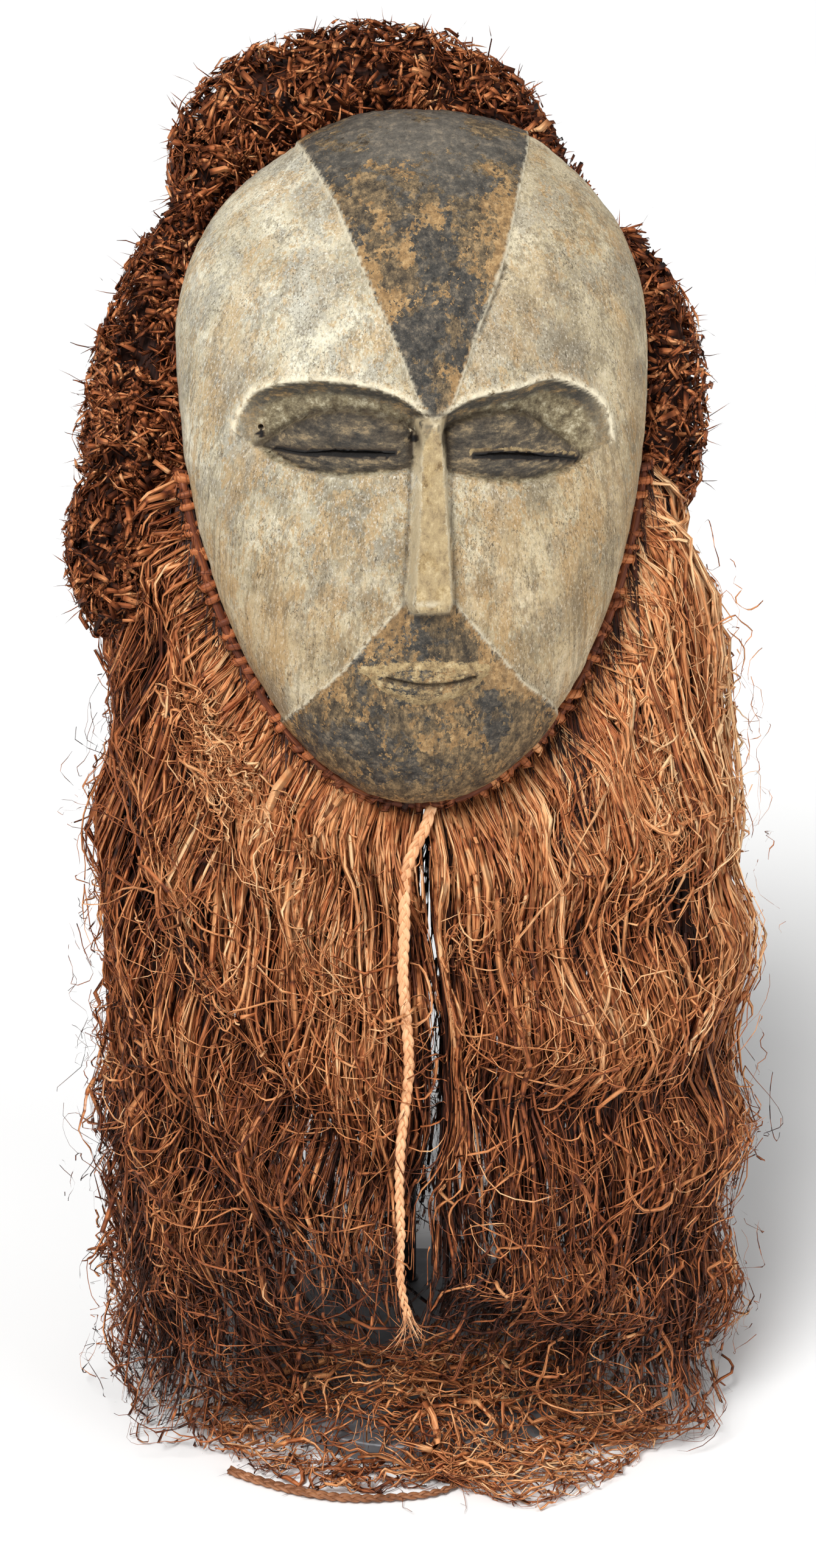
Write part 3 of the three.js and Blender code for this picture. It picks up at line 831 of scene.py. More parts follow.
    def cutters(self) -> bpy.types.Object:
        """The eye slits and the drilled holes, as one solid to take away."""
        bm = bmesh.new()
        for line, height in ((self.lines.slit_left, self.slit_heights[0]),
                             (self.lines.slit_right, self.slit_heights[1])):
            middle = evenly(line.line(), self.slit_steps + 1)
            even = np.linspace(0, 1, self.slit_steps + 1)
            made = bmesh.ops.create_grid(bm, x_segments=self.slit_steps, y_segments=4, size=1)["verts"]
            spots = places_of(made)
            share = (spots[:, 0] + 1) / 2
            inner = share if line.points[0][0] < 0 else 1 - share
            swell = np.sqrt(np.clip(1 - spots[:, 0] ** 2, 0.03, 1))
            swell = swell * (0.30 + 0.78 * smoothstep(0.2, 0.55, inner))
            swell *= 1 + 0.14 * np.sin(share * 23 + height)
            across = np.interp(share, even, middle[:, 0])
            up = np.interp(share, even, middle[:, 1]) + spots[:, 1] * swell * height / 2
            surface = self.form.out_at(across * MM, up * MM) - 0.004
            start = np.full(len(made), 0.050)
            put(made, self.form.to_world(across * MM, start, up * MM + (surface - start) * self.slit_slope))
            faces = list({f for v in made for f in v.link_faces})
            grown = bmesh.ops.extrude_face_region(bm, geom=faces)["geom"]
            outward = Vector(self.form.to_world(0, 0.06, -0.06 * self.slit_slope)
                             - self.form.to_world(0, 0, 0))
            bmesh.ops.translate(bm, verts=[g for g in grown if isinstance(g, bmesh.types.BMVert)],
                                vec=outward)
        for hole in self.lines.drilled:
            across, up = (value * MM for value in hole)
            out = float(self.form.out_at(np.array(across), np.array(up)))
            centre = Vector(self.form.to_world(across, out, up))
            turn = Matrix.Rotation(math.pi / 2 + self.form.lean, 4, "X")
            bmesh.ops.create_cone(
                bm, cap_ends=True, segments=14, radius1=self.hole_radius * MM, radius2=self.hole_radius * MM,
                depth=0.020, matrix=Matrix.Translation(centre) @ turn)
        bmesh.ops.recalc_face_normals(bm, faces=bm.faces)
        return publish("mask_cutters", bm)

    def shell(self) -> tuple[bpy.types.Object, dict[str, np.ndarray]]:
        """The face with its rim and its hollow, before the eyes are pierced."""
        bm = bmesh.new()
        front = bmesh.ops.create_grid(bm, x_segments=self.columns, y_segments=self.rows, size=1)["verts"]
        spots = places_of(front)
        spots[:, 0] = self.crowd(spots[:, 0], ((0.0, 0.13, 1.1), (-0.4, 0.3, 0.35), (0.4, 0.3, 0.35)), 0)
        spots[:, 1] = self.crowd(spots[:, 1], ((-0.10, 0.10, 1.5), (-0.52, 0.07, 0.9)), 0.9)
        order = np.lexsort((np.round(spots[:, 0], 6), np.round(spots[:, 1], 6)))
        places = self.places(spots)
        on_line = np.zeros(len(places), bool)
        places[order], on_line[order] = self.snapped(places[order], self.columns)
        points, masks = self.relief(places)
        points[:, 2] = self.settled(points[:, 0], points[:, 2])
        put(front, self.form.to_world(*points.T))
        bmesh.ops.connect_verts(bm, verts=[vert for vert, held in zip(front, on_line) if held])
        rim = [e for e in bm.edges if e.is_boundary]
        for inset, back in ((0.35, 0.65), (0.9, 0.9)):
            grown = bmesh.ops.extrude_edge_only(bm, edges=rim)["geom"]
            rim = [g for g in grown if isinstance(g, bmesh.types.BMEdge)]
            loop = [g for g in grown if isinstance(g, bmesh.types.BMVert)]
            local = self.local(places_of(loop))
            shrink = 1 - inset * self.rim_round * MM / np.hypot(local[:, 0], local[:, 2])
            put(loop,
                self.form.to_world(local[:, 0] * shrink, np.full(len(loop), -back * self.rim_round * MM),
                                   local[:, 2] * shrink))
        back = bmesh.ops.create_grid(bm, x_segments=self.hollow_columns, y_segments=self.hollow_rows,
                                     size=1)["verts"]
        places = self.places(places_of(back), -self.form.wall)
        across, up = places[:, 0] * MM, places[:, 1] * MM
        out = self.form.out_at(across, up, -self.form.wall)
        normal = self.form.normal_at(across, out, up)
        gouge = np.abs(ripples(places * (1.0, 0.55), 21.0, 21, 2)) * 0.0012 * smoothstep(0.0, 0.02, out)
        for middle in (-47.0, 50.0):
            reach = np.hypot((places[:, 0] - middle) / 62, (places[:, 1] + 37) / 40)
            gouge -= self.behind_eyes * MM * smoothstep(1.0, 0.35, reach)
        points = np.stack([across, out, up], axis=1) - normal * (0.0004 - gouge)[:, None]
        points[:, 1] = np.where(out < 1e-6, -self.rim_round * MM * 0.9, points[:, 1])
        points[:, 2] = self.settled(points[:, 0], points[:, 2])
        put(back, self.form.to_world(*points.T))
        hollow_rim = [e for e in bm.edges if e.is_boundary and e not in set(rim)]
        bmesh.ops.bridge_loops(bm, edges=rim + hollow_rim)
        bmesh.ops.recalc_face_normals(bm, faces=bm.faces)
        total = len(bm.verts)
        full = {name: np.concatenate([values, np.full(total - len(values), float(name == "inside"))])
                for name, values in masks.items()}
        ring = slice(len(front), len(front) + 2 * 2 * (self.columns + self.rows))
        full["paint"][len(front):] = -20
        full["inside"][ring] = 0.6
        return publish("mask", bm), full

    def settled(self, across: np.ndarray, up: np.ndarray) -> np.ndarray:
        """Lowers the crown a little, more at its sides and most on the left, as the old wood is."""
        share = 0.028 + 0.055 * smoothstep(-0.015, -0.080, across) + 0.025 * smoothstep(0.065, 0.095, across)
        return np.where(up > 0, up * (1 - share * smoothstep(0.0, 0.05, up)), up)

    def local(self, points: np.ndarray) -> np.ndarray:
        """Points of the part's frame as face-local across, out and up."""
        moved = points - np.array(self.form.place)
        c, s = math.cos(self.form.lean), math.sin(self.form.lean)
        return np.stack([moved[:, 0], -c * moved[:, 1] + s * moved[:, 2],
                         s * moved[:, 1] + c * moved[:, 2]], axis=1)

    def build(self, finish: bpy.types.Material) -> bpy.types.Object:
        """The whole face, pierced and painted."""
        mask, values = self.shell()
        for name, column in values.items():
            carry(mask.data, name, column)
        cutter = self.cutters()
        cut = mask.modifiers.new("pierce", "BOOLEAN")
        cut.object = cutter
        cut.solver = "EXACT"
        apply_modifiers(mask)
        bpy.data.objects.remove(cutter)
        self.darken_cuts(mask)
        return finish_piece(mask, finish, Slot.WOOD, "mask_face")

    def darken_cuts(self, mask: bpy.types.Object) -> None:
        """Sets the masks of the cut walls, which the cut leaves with other vertices' values; the walls of
        the slits and holes get painted shade, near-black.
        """
        data = mask.data
        points = np.zeros(len(data.vertices) * 3)
        data.vertices.foreach_get("co", points)
        local = self.local(points.reshape(-1, 3)) / MM
        flat = local[:, (0, 2)].copy()
        surface = self.form.out_at(flat[:, 0] * MM, flat[:, 1] * MM) / MM - 4.0
        straight = flat - np.stack([np.zeros(len(flat)), (surface - local[:, 1]) * self.slit_slope], axis=1)
        near = np.minimum(self.lines.slit_left.nearest(straight)[0],
                          self.lines.slit_right.nearest(straight)[0])
        cut = near < 0.5 * max(self.slit_heights) + 0.25
        for hole in self.lines.drilled:
            cut |= np.hypot(*(flat - hole).T) < self.hole_radius + 0.3
        inner = self.form.out_at(local[:, 0] * MM, local[:, 2] * MM) / MM
        cut &= local[:, 1] > inner - 24.0
        # The cut walls get painted shade: near-black inside the slits and holes
        for name, value in (("grime_and_shade", 2.0), ("paint", 3.0), ("inside", 0.0), ("lid", 1.0), ("edge", 0.0),
                            ("soot", 1.0), ("socket", 0.0), ("ledge", 0.0), ("ochre", 0.0), ("nose", 0.0),
                            ("band", 0.0)):
            layer = data.attributes[name]
            column = np.zeros(len(data.vertices), np.float32)
            layer.data.foreach_get("value", column)
            column[cut] = value
            layer.data.foreach_set("value", column)


def apply_modifiers(obj: bpy.types.Object) -> None:
    """Bakes an object's modifiers into its mesh."""
    graph = bpy.context.evaluated_depsgraph_get()
    baked = bpy.data.meshes.new_from_object(obj.evaluated_get(graph))
    obj.modifiers.clear()
    old = obj.data
    obj.data = baked
    bpy.data.meshes.remove(old)
    baked.name = obj.name


# The raffia


@dataclass(frozen=True)
class Roll:
    """One trimmed roll of the coiffure."""

    name: str
    node: str
    brush: Brush
    bristles: int
    combed: Triple = (0.0, 0.0, 0.0)
    lightness: float = 0.0
    length: float = 14.0 * MM
    width: tuple[float, float] = (1.7 * MM, 3.9 * MM)
    core: float = 0.70

    def fullness(self, along: np.ndarray) -> np.ndarray:
        """The share of the radius that is left towards the roll's round ends."""
        return np.sqrt(np.maximum(0.0, 1 - np.abs(2 * along - 1) ** 5))

    def stations(self, along: np.ndarray, angle: np.ndarray, share: np.ndarray) -> Pair:
        """Places in the roll and the direction straight out of it.

        Args:
            along: places along the middle line.
            angle: the direction round it.
            share: the share of the radius, 1 on the trimmed surface.

        Returns:
            The points and the directions.
        """
        centre, step, radius = self.brush.at(along)
        side = unit(np.cross(step, np.array([0.0, 1.0, 0.0])))
        behind = np.cross(side, step)
        spoke = np.cos(angle)[:, None] * side + np.sin(angle)[:, None] * behind
        lean = 2.5 * np.sign(2 * along - 1) * np.abs(2 * along - 1) ** 6
        outward = unit(spoke + step * lean[:, None])
        full = self.fullness(along)
        return centre + spoke * (radius * full * share)[:, None], outward

    def build(self, finish: bpy.types.Material, seed: int) -> bpy.types.Object:
        """The roll as one mesh of a core painted dark as shade, and its bristles."""
        rng = np.random.default_rng(seed)
        batch = FibreBatch(rng)
        self.lay_core(batch)
        self.lay_bristles(batch, self.bristles, rng)
        return finish_piece(batch.build(self.name), finish, Slot.DARK_RAFFIA, self.node)

    def lay_core(self, batch: FibreBatch) -> None:
        """The packed middle of the roll, as one fat closed form, painted near-black as the shade between the
        bristles.
        """
        along = np.linspace(0, 1, 34)
        centre, _, radius = self.brush.at(along)
        width = 2 * radius.max() * self.core
        share = radius * self.fullness(along) / radius.max()
        facing = np.broadcast_to(np.array([0.0, 1.0, 0.0]), centre[None].shape)
        batch.lay(centre[None], (share * width)[None], np.array([0.0]), 1.0, taper=0, facing=facing,
                  sides=20, solid=1)

    def lay_bristles(self, batch: FibreBatch, count: int, rng: np.random.Generator) -> None:
        """The cut ends that make the roll's surface."""
        along = rng.uniform(0.0, 1.0, count)
        near_end = 0.07 * rng.random(count) ** 1.4
        near_end = np.where(rng.random(count) < 0.5, near_end, 1 - near_end)
        along = np.clip(np.where(rng.random(count) < 0.14, near_end, along), 0.002, 0.998)
        angle = rng.uniform(0, 2 * math.pi, count)
        points, outward = self.stations(along, angle, np.ones(count))
        radius = self.brush.at(along)[2]
        clump = np.stack([ripples(points, 0.030, seed, 2) for seed in (31, 32, 33)], axis=1)
        direction = unit(0.35 * outward + 0.9 * clump + 0.75 * rng.normal(size=(count, 3))
                         + np.array(self.combed))
        direction = unit(direction
                         + outward * np.maximum(0, 0.30 - np.sum(direction * outward, axis=1))[:, None])
        tall = 1 + 0.05 * ripples(points, 0.022, 34, 2) - 0.15 * rng.beta(1.0, 2.2, count)
        tip = points + outward * ((tall - 1) * radius)[:, None]
        reach = (self.length * rng.uniform(0.7, 1.3, count))[:, None]
        root = tip - direction * reach
        bend = unit(rng.normal(size=(count, 3))) * reach * rng.uniform(0.03, 0.2, (count, 1))
        paths = np.stack([root, (root + tip) / 2 + bend, tip], axis=1)
        width = rng.uniform(*self.width, count)
        # Painted shade: bristles that sit lower are darker, and each darkens towards its root
        tone = (0.58 + self.lightness + 0.13 * rng.normal(size=count) + 0.10 * clump[:, 0]
                + 2.0 * (tall - 0.97))
        fade = np.array([-0.26, -0.02, 0.05])
        facing = np.broadcast_to(unit(outward + 0.55 * rng.normal(size=(count, 3)))[:, None], paths.shape)
        batch.lay(paths, width, np.clip(tone[:, None] + fade, 0, 1), flat=0.26, taper=0.1, facing=facing)
        strays = count // 14
        pick = rng.integers(0, count, strays)
        far = rng.uniform(0.007, 0.015, (strays, 1)) * rng.choice([1.0, 1.0, 1.0, 1.7], (strays, 1))
        hook = unit(rng.normal(size=(strays, 3))) * far * 0.45
        way = unit(direction[pick] + 1.2 * outward[pick])
        start = tip[pick] - way * 0.005
        paths = np.stack([start, start + way * far * 0.6 + hook * 0.2,
                          tip[pick] + way * far * 0.7 + hook * 0.6], axis=1)
        batch.lay(keep_in(paths), rng.uniform(0.5, 1.2, strays) * MM, np.full(strays, 0.42), flat=0.5)


def keep_in(points: np.ndarray) -> np.ndarray:
    """Holds points inside the room that the model has, above the floor."""
    return np.clip(points, ROOM_LOW, ROOM_HIGH)


@dataclass(frozen=True)
class Knots:
    """A row of wrapped knots along a stretch of the collar, and the cord they are tied on."""

    name: str
    start: float
    end: float
    slot: Slot
    pitch: float = 7.0 * MM
    cord: float = 2.6 * MM
    tucked: float = 3.8 * MM
    collar: CollarForm = CollarForm()

    def frames(self, step: float) -> tuple[np.ndarray, ...]:
        """Places along the collar, about a step apart.

        Args:
            step: how far apart.

        Returns:
            The middle points, and the directions along the collar, to the front and outwards.
        """
        around = np.radians(np.linspace(self.start, self.end, 600))
        line = self.collar.line(around, self.collar.edging_out - self.tucked)
        run = runs(line)
        count = int(run[-1] / step)
        at = (np.arange(count) + 0.5) / count * run[-1]
        centre = points_at(line, at)
        turned = np.interp(at, run, around)
        along = unit(np.gradient(centre, axis=0))
        outward = self.collar.line(turned, self.collar.edging_out + 0.01) - centre
        outward = unit(outward - along * np.sum(outward * along, axis=1, keepdims=True))
        front = np.cross(along, outward)
        front *= np.sign(front @ np.array([0.0, -0.5, 1.0]))[:, None]
        return centre, along, front, outward

    def build(self, finish: bpy.types.Material, node: str, seed: int) -> bpy.types.Object:
        """The whole row as one mesh."""
        rng = np.random.default_rng(seed)
        batch = FibreBatch(rng)
        centre, along, front, outward = self.frames(self.pitch)
        count = len(centre)
        jitter = rng.normal(0, 1.1, (count, 3)) * MM
        centre = (centre + along * jitter[:, :1] + front * (jitter[:, 1:2] * 0.9 - 2.8 * MM)
                  + outward * jitter[:, 2:] * 0.7)
        lean = rng.normal(0, 0.34, (count, 1))
        tone = 0.36 + 0.11 * rng.normal(size=count)
        size = rng.uniform(0.70, 1.12, count)
        self.barrels(batch, centre, along, unit(front + 0.25 * lean * along), unit(outward + lean * along),
                     tone, size)
        inner = self.frames(4 * MM)[0]
        facing = np.broadcast_to(np.array([0.0, 0.0, 1.0]), inner[None].shape)
        batch.lay(inner[None], np.array([2 * self.cord]), np.array([0.2]), 1.0, taper=0, facing=facing,
                  sides=8, solid=1)
        return finish_piece(batch.build(self.name), finish, self.slot, node)

    def barrels(self, batch: FibreBatch, centre: np.ndarray, along: np.ndarray, front: np.ndarray,
                outward: np.ndarray, tone: np.ndarray, size: np.ndarray) -> None:
        """A bundle over the cord at each knot, with three turns laid over it."""
        rng = batch.rng
        count = len(centre)
        reach = np.linspace(-4.6, 5.4, 7)
        rise = 4.4 - 0.065 * (reach - 0.5) ** 2
        swell = np.array([0.70, 0.90, 1.0, 1.02, 0.98, 0.86, 0.66]) * 4.9
        paths = centre[:, None] + (outward[:, None] * reach[:, None] + front[:, None] * rise[:, None]) * MM
        facing = np.broadcast_to(front[:, None], paths.shape)
        batch.lay(paths, swell * size[:, None] * MM, tone, 0.78, taper=0, facing=facing, sides=8, solid=1)
        for reach, girth in ((-1.6, 5.5), (1.3, 5.7), (3.7, 4.8)):
            turn = np.linspace(-0.55 * math.pi, 0.55 * math.pi, 6)
            middle = centre + (outward * (reach + rng.normal(0, 0.3, (count, 1))) + front * 3.4) * MM
            skew = rng.normal(0, 0.35, (count, 1, 1)) * np.sin(turn)[:, None]
            loop = along[:, None] * np.sin(turn)[:, None] + front[:, None] * (0.72 * np.cos(turn))[:, None]
            thick = girth / 2 * size[:, None, None]
            paths = middle[:, None] + (loop + outward[:, None] * skew) * thick * MM
            facing = np.broadcast_to(outward[:, None], paths.shape)
            batch.lay(paths, rng.uniform(2.3, 3.1, count) * MM, tone + rng.normal(0.03, 0.05, count), 0.42,
                      taper=0.3, facing=facing + 0.15 * rng.normal(size=(count, 1, 3)), sides=4)


@dataclass(frozen=True)
class Hank:
    """One hank of the cape, between two angles in degrees round the collar."""

    node: str
    start: float
    end: float
    locks: int
    members: int
    tangles: int
    curls: int
    lightness: float = 0.0
    nest: int = 0
    spread: tuple[float, float] = (0.0, 0.0)
    tuft: float = 0.0

    def ends(self) -> tuple[float, float]:
        """Both angles in radians."""
        return math.radians(self.start), math.radians(self.end)


@dataclass(frozen=True)
class Cape:
    """The raffia beard and cape that hangs from the knots."""

    collar: CollarForm = CollarForm()
    parting: float = math.radians(0.2)
    mean_radius: float = 0.150
    base_radius: float = 0.100
    base_top: float = 0.0125
    swell: float = 0.0095
    swell_size: float = 52.0
    tuft_size: float = 0.024
    root_out: float = 4.5 * MM
    knot_out: float = 0.012
    front_limit: float = 120.0
    back_limit: float = 240.0
    under_front: int = 4
    under_back: int = 7
    roots_per_lock: int = 7
    wisps_front: int = 3
    wisps_back: int = 2
    net_count: int = 60
    tuft_level: float = 0.955
    tuft_count: int = 190
    stray_count: int = 26
    nest_reach: float = 0.034
    hanks: tuple[Hank, ...] = (
        Hank("beard_left", -62.0, -0.5, 34, 12, 34, 12, 0.05, nest=470, spread=(-72.0, 14.0), tuft=-41.0),
        Hank("beard_right", 1.5, 62.0, 33, 12, 34, 12, 0.07, nest=540, spread=(-6.0, 68.0)),
        Hank("cape_left", -118.0, -62.0, 24, 10, 20, 12, -0.05),
        Hank("cape_right", 62.0, 118.0, 24, 10, 20, 12, 0.10),
        Hank("cape_back_left", -180.0, -118.0, 20, 8, 8, 11, -0.05),
        Hank("cape_back_right", 118.0, 180.0, 20, 8, 8, 11, -0.03),
    )

    def parted(self, around: np.ndarray, up: np.ndarray, side: float, play: np.ndarray) -> np.ndarray:
        """Keeps fibres on their side of the parting under the chin, which is widest low down.

        Args:
            around: angles round the collar.
            up: heights, from 0 at the floor to 1 at the collar.
            side: which side of the parting, or 0 behind.
            play: how much of the gap each fibre respects.

        Returns:
            The angles, moved.
        """
        if side == 0:
            return around
        share = smoothstep(0.17, 0.30, up) * (np.abs(around) < 1.2)
        edge = (0.014 + 0.046 * smoothstep(0.60, 0.36, up)) * play
        middle = self.parting + 0.062 * smoothstep(0.95, 0.68, up) - 0.112 * smoothstep(0.60, 0.46, up)
        away = (around - middle) * side
        kept = np.where(away > 0.45, away,
                        edge + 0.5 * (away + np.sqrt(away**2 + 0.0034)) * (1 - edge / 0.45))
        return lerp(around, middle + side * kept, share)

    def relief(self, around: np.ndarray, up: np.ndarray) -> np.ndarray:
        """The swells and hollows of the whole cape, positive in a hollow."""
        spots = np.stack([around * self.mean_radius / MM, up * 240.0 * np.ones_like(around)], axis=-1)
        rough = ripples(spots.reshape(-1, 2), self.swell_size, 51, 2).reshape(around.shape)
        return rough * smoothstep(1.0, 0.88, up)

    def place(self, around: np.ndarray, up: np.ndarray, inset: np.ndarray, floor: np.ndarray, side: float,
              play: np.ndarray) -> Pair:
        """Points of the cape on its swells, above the floor and the foot, with how deep each lies."""
        around = self.parted(around, up, side, play)
        rough = self.relief(around, up)
        deep = inset + self.swell * rough + 0.007 * smoothstep(0.3, 1.0, np.sin(around))
        points = self.collar.cape(around, up, deep + self.fold(around, up))
        # The depth returned also grows in the swells' hollows, so fibres there get painted shade
        return self.settled(points, floor), inset + 0.0075 * rough

    def settled(self, points: np.ndarray, floor: np.ndarray) -> np.ndarray:
        """Lifts points that would be under the floor or in the foot."""
        within = np.hypot(points[..., 0], points[..., 1])
        ground = (floor
                  + self.base_top * smoothstep(self.base_radius + 0.010, self.base_radius + 0.003, within))
        points[..., 2] = np.maximum(points[..., 2], ground)
        return keep_in(points)

    def fold(self, around: np.ndarray, up: np.ndarray) -> np.ndarray:
        """How far the lower ends in front have slid in over the foot."""
        front = smoothstep(1.0, 0.30, np.abs(around + 0.02))
        return 0.060 * front * smoothstep(0.36, 0.05, up)

    def lowest(self, around: np.ndarray, rng: np.random.Generator) -> np.ndarray:
        """The height, as a share, at which fibres end: above the foot in front, elsewhere the floor."""
        left = smoothstep(-0.85, -0.45, around) * smoothstep(0.10, 0.0, around)
        right = smoothstep(0.85, 0.45, around) * smoothstep(-0.02, 0.06, around)
        high = 0.30 * left + 0.17 * right
        return high * rng.uniform(0.55, 1.25, len(around)) - 0.10 * (1 - np.clip(left + right, 0, 1))

    def shade(self, points: np.ndarray, inset: np.ndarray) -> np.ndarray:
        """How light the raffia is: lighter above and on the right, darker low and on the left, with painted
        shade in the low front hollows and deep inside.
        """
        x, y, z = points[..., 0], points[..., 1], points[..., 2]
        tone = 0.43 + 0.17 * smoothstep(0.16, 0.34, z)
        tone += 0.10 * smoothstep(0.04, 0.14, x) * smoothstep(0.12, 0.3, z)
        tone -= 0.07 * smoothstep(-0.09, -0.13, x) * smoothstep(0.28, 0.40, z)
        tone += 0.12 * np.exp(-(((x + 0.085) / 0.035) ** 2) - ((z - 0.335) / 0.035) ** 2)
        # Painted shade in the low hollows at the front
        tone -= (0.13 * smoothstep(-0.055, -0.085, y) * smoothstep(0.035, 0.055, z)
                 * smoothstep(0.135, 0.09, z))
        # Painted shade on fibres that lie deep inside
        return tone - 0.40 * smoothstep(0.0, 0.016, inset)

    def wander(self, rng: np.random.Generator, length: np.ndarray, heading: np.ndarray, sway: np.ndarray,
               cycles: float, growth: float, points: int, bend: float = 0.0) -> Pair:
        """Curving ways of fibres over the cape.

        Args:
            rng: the source of chance.
            length: the fibres' lengths.
            heading: which way they start, 0 is down.
            sway: how far in radians they turn from it.
            cycles: about how many bends they make.
            growth: how much more they bend towards their ends.
            points: how many points each gets.
            bend: how far in radians they usually coil round from one end to the other.

        Returns:
            How far sideways and how far up each point is from the first.
        """
        along = np.linspace(0, 1, points)
        angle = heading[:, None] + sway[:, None] * waves(rng, len(length), along, cycles) * along**growth
        angle += bend * rng.normal(size=(len(length), 1)) * (along + 0.5 * along**2)
        step = (length / (points - 1))[:, None]
        sideways = np.cumsum(np.sin(angle) * step, axis=1)
        rise = np.cumsum(-np.cos(angle) * step, axis=1)
        return sideways - sideways[:, :1], rise - rise[:, :1]

    def widths(self, rng: np.random.Generator, count: int, middle: float, wide: float) -> np.ndarray:
        """Widths of fibres: most are near the middle one, some are broad strips."""
        width = rng.lognormal(math.log(middle), 0.32, count)
        broad = rng.random(count) < 0.16
        return np.where(broad, rng.uniform(middle, wide, count), width) * MM

    def side_of(self, hank: Hank) -> float:
        """Which side of the front parting a hank is on, or 0 behind."""
        both = hank.start + hank.end
        return math.copysign(1.0, both) if abs(both) < self.front_limit else 0.0

    def height_at(self, around: np.ndarray) -> np.ndarray:
        """How high the collar is, at angles round it."""
        return self.collar.line(around, self.knot_out)[:, 2]

    def underlay(self, batch: FibreBatch, hank: Hank, count: int) -> None:
        """Broad strips deep in the hank, painted near-black as shade, which the eye meets in its gaps."""
        rng = batch.rng
        around = np.radians(rng.uniform(hank.start, hank.end, count))
        height = self.height_at(around)
        length = height * (1 - np.maximum(self.lowest(around, rng), 0.02) * 0.9)
        length = (length
                  * np.where((np.abs(around) > 2.4) & (rng.random(count) < 0.7),
                             rng.uniform(0.62, 0.84, count), 1))
        sideways, rise = self.wander(rng, length, rng.normal(0, 0.06, count), rng.uniform(0.1, 0.4, count),
                                     1.0, 0.8, 8)
        inset = rng.uniform(0.014, 0.024, count)[:, None] * np.linspace(0.4, 1, 8) ** 0.5
        up = 1 + rise / height[:, None]
        paths, _ = self.place(around[:, None] + sideways / self.mean_radius, up, inset,
                              np.full((count, 1), 0.002), self.side_of(hank), np.ones((count, 1)))
        paths[:, 0] = self.collar.line(around, self.root_out)
        # Near-black tone: painted shade deep in the hank
        tone = np.full(count, 0.08) + 0.05 * rng.normal(size=count)
        batch.lay(paths, rng.uniform(3.5, 7.5, count) * MM, np.clip(tone, 0, 1), flat=0.18, twist=0.7,
                  taper=0.5)

    def locks(self, batch: FibreBatch, hank: Hank) -> None:
        """Twisted locks of long fibres, each lock a loose round bundle about its own line."""
        rng = batch.rng
        points = 19
        along = np.linspace(0, 1, points)
        start, end = hank.ends()
        count = hank.locks * hank.members
        lock = np.repeat(np.arange(hank.locks), hank.members)
        middle = (start
                  + (end - start) * (np.arange(hank.locks) + rng.uniform(0.15, 0.85, hank.locks))
                  / hank.locks)
        height = self.height_at(middle)
        length = height * (1.03 - self.lowest(middle, rng))
        flare = 0.75 * np.sin(np.clip(middle, -1.6, 1.6)) * (np.abs(middle) < 1.6)
        guide_side, guide_rise = self.wander(rng, length, rng.normal(0, 0.05, hank.locks),
                                             rng.uniform(0.15, 0.55, hank.locks), 1.3, 0.5, points)
        run = along * length[:, None]
        guide_side += flare[:, None] * 0.020 * (1 - np.exp(-run / 0.024))
        size = rng.uniform(0.009, 0.021, hank.locks)[:, None]
        size = size * (0.30 + 0.70 * smoothstep(0.0, 0.10, along))
        size = size * (1 - 0.35 * np.sin(np.pi * along)) + 0.012 * along**3
        turn = rng.uniform(-2.4, 2.4, hank.locks)[:, None] * along + rng.uniform(0, TURN, (hank.locks, 1))
        deep = rng.uniform(0.001, 0.011, (hank.locks, 1)) + 0.0045 * waves(rng, hank.locks, along, 1.2)
        out = np.sqrt(rng.random(count))[:, None]
        angle = rng.uniform(0, TURN, count)[:, None] + turn[lock]
        across, inward = out * np.cos(angle), out * np.sin(angle)
        short = 1 - 0.34 * rng.random(count)[:, None] ** 1.6
        loose_side, loose_rise = self.wander(rng, length[lock] * short[:, 0], rng.normal(0, 0.04, count),
                                             rng.uniform(0.20, 0.70, count), 1.9, 0.8, points)
        sideways = lerp(guide_side[lock], loose_side, 0.42) + size[lock] * across
        rise = lerp(guide_rise[lock] * short, loose_rise, 0.42)
        settle = smoothstep(0.0, 0.04, run[lock])
        inset = 0.003 + settle * (deep[lock] + 0.75 * size[lock] * inward)
        inset += 0.0022 * waves(rng, count, along, 2.6) * along - 0.006 * hump(run[lock] - 0.022, 0.016)
        inset = np.maximum(inset, -0.010)
        up = 1 + rise / height[lock][:, None]
        floor = LIFT + 0.030 * (rng.random(count) * rng.random(count))[:, None]
        play = np.where(rng.random((count, 1)) < 0.10, 0.0, rng.uniform(0.6, 1.25, (count, 1)))
        around = middle[lock][:, None] + sideways / self.mean_radius
        paths, deepness = self.place(around, up, inset, floor, self.side_of(hank), play)
        paths[:, 0] = self.collar.line(around[:, 0], self.root_out)
        tone = self.shade(paths, deepness) + hank.lightness + 0.085 * rng.normal(size=(count, 1))
        tone += 0.12 * rng.normal(size=hank.locks)[lock][:, None]
        batch.lay(paths, self.widths(rng, count, 2.3, 5.5), np.clip(tone, 0, 1), flat=0.2, twist=2.4,
                  taper=0.5)

